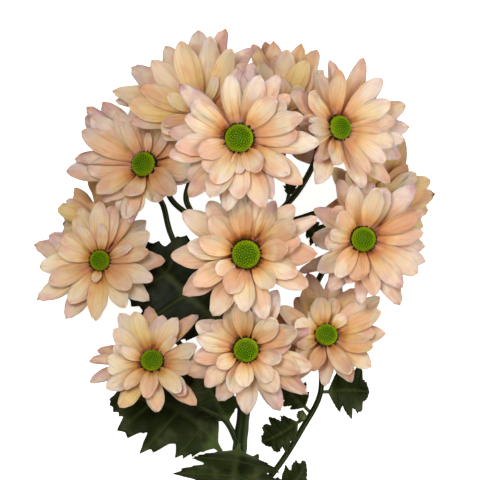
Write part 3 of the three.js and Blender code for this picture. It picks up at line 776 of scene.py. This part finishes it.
def upward(thing):
    # selects the faces that look up
    for face in thing.data.polygons:
        face.select = face.normal.z > 0.9


def blankOf(made, name):
    # a modelled shape as a blank to copy, with its points in its own units
    pick(made)
    bpy.ops.object.transform_apply(location=True, rotation=True, scale=True)
    made.name = name
    return {"object": made, "points": readPoints(made.data)}


def openFloret():
    # a little five-lobed trumpet, one unit high and one across
    pick()
    bpy.ops.mesh.primitive_cylinder_add(vertices=10, radius=0.75, depth=1.6, location=(0, 0, 0))
    editing(True)
    bpy.ops.mesh.select_all(action="DESELECT")
    editing(False)
    floret = bpy.context.object
    upward(floret)
    editing(True)
    bpy.ops.mesh.select_mode(type="FACE")
    bpy.ops.transform.resize(value=(1.35, 1.35, 1), center_override=(0, 0, 0))
    bpy.ops.mesh.inset(thickness=0.42, depth=-0.5)
    editing(False)
    for point in floret.data.vertices:
        if point.co.z > 0.7:
            lobe = math.cos(5 * math.atan2(point.co.y, point.co.x))
            point.co.x *= 1 + 0.12 * lobe
            point.co.y *= 1 + 0.12 * lobe
            point.co.z += 0.2 * lobe
    return blankOf(floret, "openFloret")


def closedFloret():
    # a pointed bud
    pick()
    bpy.ops.mesh.primitive_cylinder_add(vertices=6, radius=0.8, depth=1.2, location=(0, 0, -0.2))
    floret = bpy.context.object
    upward(floret)
    editing(True)
    bpy.ops.mesh.select_mode(type="FACE")
    for rise, narrow in ((0.35, 1.05), (0.4, 0.72), (0.22, 0.42)):
        bpy.ops.mesh.extrude_region_move(TRANSFORM_OT_translate={"value": (0, 0, rise)})
        bpy.ops.transform.resize(value=(narrow, narrow, 1), center_override=(0, 0, 0))
    editing(False)
    return blankOf(floret, "closedFloret")


def latheUp(name, sides, rings):
    # a closed round body: a filled circle, extruded and resized from ring to ring
    radius, level = rings[0]
    pick()
    bpy.ops.mesh.primitive_circle_add(vertices=sides, radius=radius, fill_type="NGON", location=(0, 0, 0))
    made = bpy.context.object
    editing(True)
    bpy.ops.mesh.select_mode(type="FACE")
    bpy.ops.mesh.select_all(action="SELECT")
    bpy.ops.transform.translate(value=(0, 0, level))
    for (before, under), (wide, above) in zip(rings, rings[1:]):
        bpy.ops.mesh.extrude_region_move(TRANSFORM_OT_translate={"value": (0, 0, above - under)})
        bpy.ops.transform.resize(value=(wide / before, wide / before, 1), center_override=(0, 0, 0))
    bpy.ops.mesh.select_all(action="SELECT")
    bpy.ops.mesh.normals_make_consistent(inside=False)
    editing(False)
    return blankOf(made, name)


def turnedTo(way, spin):
    turn = Vector((0, 0, 1)).rotation_difference(Vector(way)).to_matrix()
    c, s = math.cos(spin), math.sin(spin)
    return np.array(turn) @ np.array([[c, -s, 0], [s, c, 0], [0, 0, 1]])


floretBlanks = {"open": openFloret(), "closed": closedFloret()}


def addFlorets(bloom, name, vary):
    plan, spread = discPlan, discPlan["florets"]
    radius, height = bloom["disc"] * plan["out"], bloom["disc"] * plan["height"]
    golden = math.pi * (3 - math.sqrt(5))
    parts = []
    for i in range(spread["count"]):
        share = math.sqrt((i + 0.5) / spread["count"])
        bend = math.radians(spread["wrap"]) * share
        lean, turn = bend * spread["lean"], i * golden
        way = (math.sin(lean) * math.cos(turn), math.sin(lean) * math.sin(turn), math.cos(lean))
        level = plan["foot"] + height * (spread["low"] + spread["rise"] * math.cos(bend))
        level += vary(-spread["uneven"], spread["uneven"])
        centre = (radius * math.sin(bend) * math.cos(turn), radius * math.sin(bend) * math.sin(turn), level)
        opened = share > plan["openFrom"] + vary(-plan["openUneven"], plan["openUneven"])
        kind = "open" if opened else "closed"
        blank, sizes = floretBlanks[kind], plan["kinds"][kind]
        own = blank["points"] * (bloom["disc"] * sizes["size"]) * vary(*spread["size"])
        own[:, 2] *= sizes["tall"]
        points = own @ turnedTo(way, vary(*anyTurn)).T + centre
        # painted shade: the lower a point sits on its floret, the more the paint darkens it, as shade between
        # the florets
        lift = smooth(-0.6, 0.9, blank["points"][:, 2])
        marks = {"age": share, "lift": lift, "tone": vary(0, 1)}
        parts.append(shapedCopy(blank, f"{name}_{i}", placedIn(bloom, points), marks))
    return parts


def addShadeScales(bloom, name, vary):
    disc, plan, blank = bloom["disc"], discPlan["shadeScales"], floretBlanks["closed"]
    parts = []
    for i in range(plan["count"]):
        turn = 2 * math.pi * (i + vary(-0.5, 0.5)) / plan["count"]
        aside = turn + vary(-0.5, 0.5)
        way = (math.cos(aside), math.sin(aside), vary(0.0, 0.7))
        girth = vary(*plan["girth"])
        own = blank["points"] * disc * np.array([girth, girth, vary(*plan["length"])])
        centre = np.array([math.cos(turn), math.sin(turn), 0]) * disc * plan["out"]
        centre[2] = discPlan["foot"] - plan["down"]
        # painted shade: a lift of 0 paints each scale wholly in the darkened gap colour
        marks = {"age": 0.8, "lift": 0.0, "tone": vary(0, 1)}
        points = own @ turnedTo(way, 0).T + centre
        parts.append(shapedCopy(blank, f"{name}_scale_{i}", placedIn(bloom, points), marks))
    return parts


def makeDisc(bloom, name):
    disc, foot, dome = bloom["disc"], discPlan["foot"], discPlan["dome"]
    vary = randomSource(bloom["seed"] * 3 + 1)
    radius, height = disc * discPlan["out"], disc * discPlan["height"]
    rings = [(disc * out, level) for out, level in discPlan["collar"]]
    for bend in np.radians(dome["bends"]):
        level = foot + height * (dome["low"] + dome["rise"] * math.cos(bend))
        rings.append((radius * math.sin(bend) * dome["out"], level))
    body = latheUp(name + "_body", dome["sides"], rings)
    # painted shade: the body is darkened by the gap colour, fully below the dome's foot and half above it
    lift = 0.5 * smooth(foot - 0.4, foot + 0.8, body["points"][:, 2])
    marks = {"age": 0.5, "lift": lift, "tone": 0.5}
    parts = [shapedCopy(body, name + "_dome", placedIn(bloom, body["points"]), marks)]
    removed(body["object"])
    parts += addFlorets(bloom, name, vary)
    parts += addShadeScales(bloom, name, vary)
    return joined(parts, name)


discLook = {
    "ages": hues((0.0, 96, 144, 0), (0.45, 116, 158, 0), (0.8, 156, 184, 10), (1.0, 178, 190, 44)),
    "between": colour(92, 78, 16),  # painted shade: it darkens the gaps between the florets, the dome's collar and the scales round the disc
    "tones": [(0.0, (0.7, 0.78, 0.5, 1)), (1.0, (1.0, 1.0, 1.0, 1))],
    "toneShare": 0.4,
    "finish": {"Roughness": 0.6, "Specular IOR Level": 0.12},
}


def discColours(tree, look):
    fresh = ramp(tree, readMark(tree, "age"), look["ages"])
    # painted shade: low on each floret, on the collar and on the scales, the ages' colour is darkened
    deep = mixed(tree, 1.0, fresh, look["between"], "MULTIPLY")
    base = mixed(tree, readMark(tree, "lift"), deep, fresh)
    return [tinted(tree, look["toneShare"], base, readMark(tree, "tone"), look["tones"])]


dressBlooms(makeDisc, "disc", newPaint("disc", discLook, discColours))
for blank in floretBlanks.values():
    removed(blank["object"])


# The calyx behind each bloom: a cup, and rows of pointed bracts that overlap like tiles.

calyxPlan = {
    "top": -2.1,
    "depth": 7.2,
    "over": 0.5,
    "sides": 28,
    "cup": [(0.2, 1.0), (0.34, 0.97), (0.6, 0.84), (0.78, 0.66), (0.9, 0.4), (0.97, 0.14), (0.94, 0.0)],
    "rows": [
        {"count": 9, "from": 0.86, "length": 3.6, "width": 3.0, "out": 0.52, "rise": 42},
        {"count": 11, "from": 0.62, "length": 4.0, "width": 3.2, "out": 0.8, "rise": 62},
        {"count": 13, "from": 0.42, "length": 4.4, "width": 3.3, "out": 0.93, "rise": 74},
    ],
    "thickness": 0.28,
    "hollow": 0.35,  # how far a bract's sides bend in
    "bend": 0.12,
}

bractBlank = blankGrid("bractBlank", 8, 6)


def bractPoints(row, turn, radius, vary):
    s, t = bractBlank["along"], bractBlank["across"]
    half = row["width"] / 2 * np.sqrt(np.maximum(1 - s ** 2.4, 0)) * (0.75 + 0.25 * np.sin(math.pi * s))
    rise = math.radians(row["rise"] + vary(-5, 5))
    bent = rise + calyxPlan["bend"] * s
    inner = np.where(bractBlank["upper"], 0.0, -calyxPlan["thickness"] * (1 - 0.7 * s))
    inner = inner - calyxPlan["hollow"] * half * t * t
    x = row["out"] * radius + row["length"] * s * np.cos(bent) + inner * math.sin(rise)
    z = row["length"] * s * np.sin(bent) - inner * math.cos(rise)
    y = half * t
    height = calyxPlan["top"] - calyxPlan["depth"] * row["from"]
    c, d = math.cos(turn), math.sin(turn)
    return np.stack([x * c - y * d, x * d + y * c, z + height], axis=1)


def makeCalyx(bloom, name):
    plan = calyxPlan
    vary = randomSource(bloom["seed"] * 5 + 2)
    radius = bloom["disc"] + plan["over"]
    rings = [(radius * out, plan["top"] - plan["depth"] * down) for out, down in plan["cup"]]
    cup = latheUp(name + "_cup", plan["sides"], rings)
    parts = [shapedCopy(cup, name + "_body", placedIn(bloom, cup["points"]), {"edge": 0.0, "tone": 0.4})]
    removed(cup["object"])
    edge = np.clip(np.abs(bractBlank["across"]) ** 3 * 0.8 + bractBlank["along"] ** 6, 0, 1)
    for row in plan["rows"]:
        for k in range(row["count"]):
            turn = 2 * math.pi * (k + vary(-0.12, 0.12)) / row["count"] + row["from"] * 7
            points = placedIn(bloom, bractPoints(row, turn, radius, vary))
            marks = {"edge": edge, "tone": vary(0, 1)}
            parts.append(shapedCopy(bractBlank, f"{name}_{row['count']}_{k}", points, marks))
    return joined(parts, name)


bractLook = {
    "greens": hues((0.0, 52, 74, 30), (1.0, 84, 108, 46)),
    "edge": colour(150, 140, 96),
    "specks": [(0.3, (0.6, 0.65, 0.5, 1)), (0.7, (1, 1, 1, 1))],
    "speckShare": 0.35,
    "grain": (700.0, 3.0),
    "bump": (0.0002, 0.5),
    "finish": {"Roughness": 0.6},
}


def bractColours(tree, look):
    green = ramp(tree, readMark(tree, "tone"), look["greens"])
    base = mixed(tree, readMark(tree, "edge"), green, look["edge"])
    speck = noise(tree, coordinates(tree, "Object"), *look["grain"])
    base = tinted(tree, look["speckShare"], base, speck, look["specks"])
    return base, (speck, *look["bump"])


bractPaintMade = newPaint("bracts", bractLook, bractColours)
dressBlooms(makeCalyx, "calyx", bractPaintMade)


# The stem: the main stem and the thirteen stalks, on the same curves as the solids.

stemLine = [
    (-9, -214.5, 3.076, 3.2),
    (-7, -170, 10, 3.1),
    (-4, -125, 20, 3.0),
    (0, -92, 28, 2.9),
    (3, -60, 36, 2.6),
    (3, -25, 43, 2.4),
    (1, 8, 50, 2.1),
    (0, 32, 66, 1.7),
]

stalks = [
    {"from": 0.97, "through": [], "arrive": 16},
    {"from": 0.76, "through": [(4, -24, 58)], "arrive": 20},
    {"from": 0.78, "through": [(-12, 5, 50), (-25.4, 13.1, 50), (-30.7, 18.2, 48)], "arrive": 5},
    {"from": 0.5, "through": [(-20, -54, 24), (-42, -30, 19)], "arrive": 6},
    {"from": 0.42, "through": [(-7.6, -80.1, 44), (-17.8, -74.5, 47)], "arrive": 10, "radius": 0.9},
    {"from": 0.52, "through": [(5, -62, 46)], "arrive": 14},
    {"from": 0.29, "through": [(15, -104, 26), (28, -84, 31), (36, -68, 36)], "arrive": 8},
    {"from": 0.84, "through": [(24, 9, 52), (38, 12, 54)], "arrive": 8},
    {"from": 0.8, "through": [(18, 13, 54), (26, 22, 57), (33.5, 36, 61)], "arrive": 5},
    {"from": 0.7, "through": [(-22, 13, 57), (-24, 20, 60)], "arrive": 8},
    {"from": 0.78, "through": [(7, 27, 40), (14, 39, 29)], "arrive": 6},
    {"from": 0.6, "through": [(-14, -28, 32), (-30.7, 2, 31), (-35.6, 17.6, 29), (-43, 21, 24)], "arrive": 6},
    {"from": 0.55, "through": [(20, -46, 36), (36, -16, 33), (46, 2, 26)], "arrive": 8},
]

stemPlan = {
    "sides": 24,
    "mainSteps": 150,
    "stalkSteps": 44,
    "stalkRadius": 1.3,
    "knots": (0.97, 0.08, 0.012),  # the stem's breadth between its knots, how much they add, and their length
    "flare": (1.5, 0.06),  # at a stalk's foot, times its radius, and over what share of its length
    "footFlare": 1.15,  # the same where a leaf stands
    "neck": (1.25, 10),  # under the bloom, and the power that keeps it there
    "ribs": {"count": 6, "height": 0.045, "twist": 0.02, "second": 0.35, "secondTwist": 0.11},
    "calyxFoot": -9.6,  # where a stalk reaches the calyx, along the bloom's axis
    "join": 0.7,  # how far a stalk runs on into the calyx
}


def curvePoint(points, share):
    # a point of a smooth curve through some points, spaced by the roots of their distances
    last = len(points) - 1
    i = min(int(share * last), last - 1)
    w = share * last - i
    b, c = points[i], points[i + 1]
    a = points[i - 1] if i > 0 else 2 * points[0] - points[1]
    d = points[i + 2] if i + 2 <= last else 2 * points[last] - points[last - 1]
    da, db, dc = (math.sqrt(np.linalg.norm(q - p)) for p, q in ((a, b), (b, c), (c, d)))
    start = ((b - a) / da - (c - a) / (da + db) + (c - b) / db) * db
    end = ((c - b) / db - (d - b) / (db + dc) + (d - c) / dc) * db
    return b + start * w + (3 * (c - b) - 2 * start - end) * w ** 2 + (2 * (b - c) + start + end) * w ** 3


mainPoints = [np.array(p[:3]) for p in stemLine]


def stalkPoints(bloom, stalk, join=0.0):
    axis = np.array(axisOf(bloom))
    end = np.array(bloom["at"]) + axis * stemPlan["calyxFoot"]
    through = [np.array(p) for p in stalk["through"]]
    return [curvePoint(mainPoints, stalk["from"]), *through, end - axis * stalk["arrive"], end + axis * join]


def lineOf(on):
    return mainPoints if on == 0 else stalkPoints(blooms[on - 1], stalks[on - 1])


def stemRadius(share):
    return float(np.interp(share * (len(stemLine) - 1), range(len(stemLine)), [p[3] for p in stemLine]))


def tubeAlong(name, points, radii):
    # a curve with a round bevel, made a mesh
    line = bpy.data.curves.new(name, "CURVE")
    line.dimensions = "3D"
    line.bevel_depth = 1.0
    line.bevel_resolution = stemPlan["sides"] // 2 - 2
    line.use_fill_caps = True
    spline = line.splines.new("POLY")
    spline.points.add(len(points) - 1)
    for mark, point, radius in zip(spline.points, points, radii):
        mark.co = (*((point + viewCentre) * mm), 1)
        mark.radius = radius * mm
    tube = bpy.data.objects.new(name, line)
    bpy.context.collection.objects.link(tube)
    pick(tube)
    bpy.ops.object.convert(target="MESH")
    return bpy.context.object


def ribbed(tube, points, vary):
    # raises soft ribs along a tube, and marks them for its paint
    sides, plan = stemPlan["sides"], stemPlan["ribs"]
    places = readPoints(tube.data)
    rings = len(points)
    count = rings * sides  # the tube's points without those of its two caps
    centres = (np.array(points) + viewCentre) * mm
    around = np.tile(np.arange(sides), rings) * 2 * math.pi / sides
    ring = np.repeat(np.arange(rings), sides)
    wave = np.cos(plan["count"] * around + ring * plan["twist"] + vary(*anyTurn))
    wave = wave + plan["second"] * np.cos(2 * around + ring * plan["secondTwist"])
    out = places[:count] - centres[ring]
    places[:count] = centres[ring] + out * (1 + plan["height"] * wave)[:, None]
    tube.data.vertices.foreach_set("co", places.ravel())
    rib = np.zeros(len(places))
    rib[:count] = wave * 0.5 + 0.5
    writeMarks(tube.data, {"rib": rib})
    return tube


def makeStem(plan):
    vary = randomSource(17)
    between, swell, length = plan["knots"]
    knots = [s["from"] for s in stalks] + [leaf["from"] for leaf in leaves if leaf["on"] == 0]
    shares = np.linspace(0, 1, plan["mainSteps"])
    points = [curvePoint(mainPoints, s) for s in shares]
    swells = [between + swell * sum(math.exp(-((s - k) / length) ** 2) for k in knots) for s in shares]
    radii = [stemRadius(s) * more for s, more in zip(shares, swells)]
    parts = [ribbed(tubeAlong("stem_main", points, radii), points, vary)]
    (flare, flareLength), (neck, neckPower) = plan["flare"], plan["neck"]
    shares = np.linspace(0, 1, plan["stalkSteps"])
    swells = 1 + (flare - 1) * np.exp(-shares / flareLength) + (neck - 1) * shares ** neckPower
    for i, (bloom, stalk) in enumerate(zip(blooms, stalks)):
        line = stalkPoints(bloom, stalk, plan["join"])
        points = [curvePoint(line, s) for s in shares]
        radii = stalk.get("radius", plan["stalkRadius"]) * swells
        parts.append(ribbed(tubeAlong(f"stem_{i}", points, radii), points, vary))
    return joined(parts, "stem_skin")


stemLook = {
    "ribs": hues((0.0, 22, 32, 10), (0.5, 36, 48, 18), (1.0, 62, 76, 34)),
    "blotches": [(0.35, (0.6, 0.55, 0.42, 1)), (0.6, (1, 1, 1, 1))],
    "blotchShare": 0.4,
    "blotchGrain": (60.0, 4.0),
    "grain": (900.0, 2.0),
    "bump": (0.00015, 0.5),
    "finish": {"Roughness": 0.6, "Specular IOR Level": 0.14},
}


def stemColours(tree, look):
    where = coordinates(tree, "Object")
    base = ramp(tree, readMark(tree, "rib"), look["ribs"])
    base = tinted(tree, look["blotchShare"], base, noise(tree, where, *look["blotchGrain"]), look["blotches"])
    return base, (noise(tree, where, *look["grain"]), *look["bump"])


# The leaves: lobed and toothed blades on the same midribs as the solids. Each line gives the stalk that a
# leaf is on, or 0 for the main stem, and where, then its tip and what is its own.

usualLeaf = {"roll": 0, "arch": 0.05, "bend": 0, "fold": 8, "broad": 1.1, "stalk": 0.15, "deep": 0.0}

leaves = [{**usualLeaf, **leaf} for leaf in (
    {"on": 0, "from": 0.385, "tip": (-58.5, -71, 27), "roll": 12, "arch": 0.1, "bend": -0.16, "broad": 1.02},
    {"on": 0, "from": 0.43, "tip": (-6, -125, 36.5), "arch": 0.52, "fold": 6, "broad": 2.2, "stalk": 0.06},
    {"on": 0, "from": 0.37, "tip": (8, -96, 32), "broad": 0.8},
    {"on": 7, "from": 0.42, "tip": (9.5, -90.5, 28), "roll": 10, "arch": 0.08, "bend": 0.05, "broad": 1.25,
     "stalk": 0.05},
    {"on": 7, "from": 0.49, "tip": (19, -64, 34), "roll": -10, "broad": 1.35, "stalk": 0.08},
    {"on": 7, "from": 0.605, "tip": (58, -68, 33), "arch": 0.08, "bend": 0.05, "fold": 6, "broad": 1.85,
     "stalk": 0.04},
    {"on": 7, "from": 0.12, "tip": (29.5, -99, 15), "roll": 20, "bend": -0.2, "broad": 1.0},
    # the eighth and ninth leaves lie in the shade under the blooms, and are painted darker all over as
    # painted shade
    {"on": 0, "from": 0.63, "tip": (-46, -3, 37), "roll": -4, "arch": 0.04, "fold": 6, "broad": 1.08,
     "deep": 0.7},
    {"on": 12, "from": 0.22, "tip": (-43, -38, 26), "roll": -4, "arch": 0.04, "fold": 6, "broad": 1.3,
     "deep": 0.7},
    {"on": 8, "from": 0.3, "tip": (39, -1, 46)},
    {"on": 9, "from": 0.3, "tip": (23, 26, 50)},
    {"on": 0, "from": 0.93, "tip": (-8, 24, 52)},
    {"on": 0, "from": 0.46, "tip": (-19, -57, 40), "broad": 1.0},
    {"on": 0, "from": 0.2, "tip": (34, -150, 6), "roll": -8, "arch": 0.12, "bend": 0.06},
)]

leafPlan = {
    "rows": 170,
    "columns": 16,
    "thickness": 0.55,
    "root": 0.8,  # the least half breadth, which the stalk has
    "gap": 1.3,
    "runOn": 0.6,
    # half of the outline: how far along and how far out each edge point is, and where on the midrib it starts
    "outline": [
        (0, 0, 0), (0.15, 0.025, 0.15), (0.22, 0.12, 0.22), (0.31, 0.23, 0.28), (0.38, 0.28, 0.33),
        (0.42, 0.19, 0.39), (0.51, 0.31, 0.46), (0.62, 0.38, 0.54), (0.64, 0.22, 0.6), (0.74, 0.29, 0.67),
        (0.84, 0.25, 0.75), (0.85, 0.14, 0.81), (0.93, 0.1, 0.89), (1, 0, 1),
    ],
    "softening": (600, 11),  # how finely the outline is divided, and how many of those parts blur a corner
    "bladeFrom": (1.4, 2.6),  # the outline's points between which the stalk becomes the blade
    "teeth": {"size": 0.026, "many": 1.15, "uneven": 0.35, "back": 0.7, "sharp": 1.3, "from": 0.03},
    "lobes": [3.5, 6.6, 9.5],  # the outline's points that the side veins run to
    "rib": (0.6, 1.5),  # the midrib's breadth at the tip, and what it gains towards the foot
    "ribBelow": 0.9,
    "sideVein": {"width": 0.13, "spread": 0.1, "slant": 0.25, "fades": 0.55},
    "fineVein": {"many": 3.4, "slant": 5, "height": 0.16},
    "puff": 0.45,
    "wave": 0.035,
    "veinDepth": 0.5,
}


def besideStem(on, share, way, gap):
    line = lineOf(on)
    step = 0.0001
    tangent = curvePoint(line, share + step) - curvePoint(line, share - step)
    tangent = tangent / np.linalg.norm(tangent)
    side = way - tangent * way.dot(tangent)
    side = side / np.linalg.norm(side)
    radius = stemRadius(share)
    if on > 0:
        flare = stemPlan["footFlare"] + (1 - stemPlan["footFlare"]) * share
        radius = stalks[on - 1].get("radius", stemPlan["stalkRadius"]) * flare
    return curvePoint(line, share) + side * (radius + gap)


def leafFrame(leaf):
    tip = np.array(leaf["tip"], dtype=float)
    way = tip - curvePoint(lineOf(leaf["on"]), leaf["from"])
    foot = besideStem(leaf["on"], leaf["from"], way, leafPlan["gap"])
    length = float(np.linalg.norm(tip - foot))
    x = (tip - foot) / length
    y = np.cross((0, 0, 1), x)
    y = y / np.linalg.norm(y)
    roll = math.radians(leaf["roll"])
    y = y * math.cos(roll) + np.cross(x, y) * math.sin(roll)
    return foot, length, np.stack([x, y, np.cross(x, y)])


def softOutline(at, stalk):
    # the outline's three columns at each row, with its corners softened and the leaf's own length of stalk
    outline = np.array(leafPlan["outline"])
    parts, blur = leafPlan["softening"]
    fine = np.linspace(0, len(outline) - 1, parts)
    along, out, start = (
        np.interp(at, fine, np.convolve(
            np.pad(np.interp(fine, range(len(outline)), column), blur // 2, mode="edge"),
            np.ones(blur) / blur,
            mode="valid",
        ))
        for column in outline.T
    )
    usual = usualLeaf["stalk"]
    along, start = (
        np.where(on < usual, on * stalk / usual, stalk + (on - usual) * (1 - stalk) / (1 - usual))
        for on in (along, start)
    )
    return along, out, start


def veinsOf(at, a, blade, phase):
    # how high the side veins and the fine veins between them stand, from 0 to 1
    side, fine = leafPlan["sideVein"], leafPlan["fineVein"]
    veins = np.abs(np.sin(at * fine["many"] + a * fine["slant"] + phase)) ** 8 * fine["height"] * (1 - a)
    for lobe in leafPlan["lobes"]:
        near = (at - lobe - side["slant"] * a) / (side["width"] + side["spread"] * a)
        veins = np.maximum(veins, np.exp(-near ** 2) * (1 - side["fades"] * a))
    return veins * blade


leafBlank = blankGrid("leafBlank", leafPlan["rows"], leafPlan["columns"])


def makeLeaf(leaf, name, seed):
    plan, teeth, broad = leafPlan, leafPlan["teeth"], leaf["broad"]
    vary = randomSource(seed)
    foot, length, axes = leafFrame(leaf)
    v, t, upper = leafBlank["along"], leafBlank["across"], leafBlank["upper"]
    a, side = np.abs(t), np.sign(t)
    last = len(plan["outline"]) - 1
    at = v * last
    along, out, start = softOutline(at, leaf["stalk"])
    blade = smooth(*plan["bladeFrom"], at)
    phase = np.where(side > 0, vary(*anyTurn), vary(*anyTurn))
    step = at * (teeth["many"] * broad ** 0.6) + teeth["uneven"] * np.sin(at * 1.3 + phase) + phase
    step = step % 1
    tooth = np.minimum(step / teeth["back"], (1 - step) / (1 - teeth["back"])) ** teeth["sharp"]
    tooth = tooth * teeth["size"] / broad ** 0.7 * (0.6 + 0.8 * np.abs(np.sin(at * 0.83 + 2 * phase)))
    size = np.where(side > 0, vary(0.9, 1.1), vary(0.9, 1.1))
    out = (out * size + tooth * blade * (out > teeth["from"])) * broad * length
    half = np.maximum(np.maximum(out, 0), plan["root"] * smooth(0, 0.25, last - at))
    fold = math.radians(leaf["fold"])

    def midrib(share):
        swell = 4 * share * (1 - share) * length
        return np.stack([share * length, leaf["bend"] * swell, leaf["arch"] * swell], axis=1)

    edge = midrib(along)
    edge[:, 1] += side * half * math.cos(fold)
    edge[:, 2] += half * math.sin(fold)
    points = midrib(start) * (1 - a)[:, None] + edge * a[:, None]
    tipRib, footRib = plan["rib"]
    vein = np.exp(-((a * half) / (tipRib + footRib * (1 - v) ** 3)) ** 2)
    vein = np.maximum(vein, veinsOf(at, a, blade, phase))
    puff = plan["puff"] * blade * np.sin(math.pi * a) ** 0.8 * (1 - vein)
    wave = plan["wave"] * half * a * a * np.sin(at * 1.7 + phase) * blade
    points[:, 2] += puff + wave - plan["veinDepth"] * vein * blade
    thick = plan["thickness"] * (0.35 + 0.65 * (1 - a ** 3))
    thick = thick + plan["ribBelow"] * np.exp(-((a * half) / 0.8) ** 2) * (1 - 0.7 * v)
    stalkRound = (1 - blade) * np.sqrt(np.maximum(1 - t * t, 0))
    points[:, 2] += np.where(upper, 0.35 * stalkRound, -thick * (blade + stalkRound))
    points[:, 0] -= (1 - smooth(0, 1.0, at)) * (plan["gap"] + plan["runOn"])
    placed = points @ axes + foot + viewCentre
    placed[:, 2] = np.maximum(placed[:, 2], lowest)
    marks = {"vein": vein, "under": np.where(upper, 0.0, 1.0), "blade": blade, "deep": leaf["deep"]}
    return joined([shapedCopy(leafBlank, name, placed, marks)], name)


leafLook = {
    "greens": hues((0.3, 15, 25, 0), (0.5, 30, 41, 8), (0.75, 68, 74, 44)),
    "cloud": (90.0, 4.0),
    # colours laid over the greens by a mark, each with its share
    # painted shade: black laid over leaves that lie in shade, by their share
    "deep": (0.7, (0, 0, 0, 1)),
    "vein": (0.35, colour(84, 94, 48)),
    "under": (0.7, colour(84, 102, 64)),
    "stalk": colour(72, 88, 42),
    "relief": [((1400.0, 2.0), (0.0001, 0.4)), ((420.0, 3.0), (0.0004, 0.6))],
    "finish": {"Specular IOR Level": 0.1, "Roughness": 0.5},
}


def leafColours(tree, look):
    where = coordinates(tree, "Object")
    base = ramp(tree, noise(tree, where, *look["cloud"]), look["greens"])
    for mark in ("deep", "vein", "under"):
        share, shade = look[mark]
        base = mixed(tree, maths(tree, "MULTIPLY", readMark(tree, mark), share), base, shade)
    base = mixed(tree, maths(tree, "SUBTRACT", 1.0, readMark(tree, "blade")), base, look["stalk"])
    relief = [(noise(tree, where, *grain), *depth) for grain, depth in look["relief"]]
    return base, *relief


dressed(makeStem(stemPlan), "stem", newPaint("stem", stemLook, stemColours))
print("stem made")

leafPaintMade = newPaint("leaf", leafLook, leafColours)
for number, leaf in enumerate(leaves, 1):
    blade = makeLeaf(leaf, f"blade_{number:02d}", 300 + 7 * number)
    dressed(blade, f"leaf_{number:02d}", leafPaintMade)
removed(leafBlank["object"])
print("leaves made")


# The one small bud, closed, on its short stalk.

budPlan = {
    "on": 7,
    "from": 0.455,
    "toward": (-0.8, 0.3, 0.5),
    "gap": 0.6,
    "radius": 1.7,
    "length": 4,
    "rings": [(0.3, -0.3), (0.55, 0.0), (0.88, 0.22), (0.98, 0.48), (0.82, 0.72), (0.5, 0.88), (0.15, 0.93)],
    "bracts": 9,
    "bractRows": [(0.0, 2.6, 0.0), (0.1, 3.4, 0.35)],  # where each row starts, its length and its turn
}


def budBract(plan, start, length, turn):
    s, t = bractBlank["along"], bractBlank["across"]
    height = start * plan["length"] + length * s
    out, up = zip(*plan["rings"])
    girth = plan["radius"] * np.interp(height / plan["length"], up, out)
    girth = girth + 0.12 + np.where(bractBlank["upper"], 0.12, 0.0) + 0.9 * s ** 3
    angle = turn + 0.5 * np.sqrt(np.maximum(1 - s ** 2, 0)) * t
    return np.stack([girth * np.cos(angle), girth * np.sin(angle), height], axis=1)


def makeBud(plan, name):
    way = np.array(plan["toward"])
    way = way / np.linalg.norm(way)
    foot = besideStem(plan["on"], plan["from"], way, plan["gap"])
    turned = turnedTo(way, 0).T
    body = latheUp(name + "_body", 18, [(r * plan["radius"], z * plan["length"]) for r, z in plan["rings"]])
    marks = {"edge": 0.0, "tone": 0.8}
    parts = [shapedCopy(body, name + "_core", body["points"] @ turned + foot + viewCentre, marks)]
    removed(body["object"])
    marks = {"edge": np.abs(bractBlank["across"]) ** 3 * 0.5, "tone": 0.5}
    for row, (start, length, spin) in enumerate(plan["bractRows"]):
        for k in range(plan["bracts"]):
            own = budBract(plan, start, length, 2 * math.pi * (k + spin) / plan["bracts"])
            parts.append(shapedCopy(bractBlank, f"{name}_{row}_{k}", own @ turned + foot + viewCentre, marks))
    stalk = tubeAlong(name + "_stalk", [foot - way * 1.4, foot + way * 0.2], [0.6, 0.7])
    writeMarks(stalk.data, {"edge": 0.0, "tone": 0.6})
    return joined([*parts, stalk], name)


dressed(makeBud(budPlan, "bud_green"), "bud", bractPaintMade)
removed(bractBlank["object"])
print("bud made")
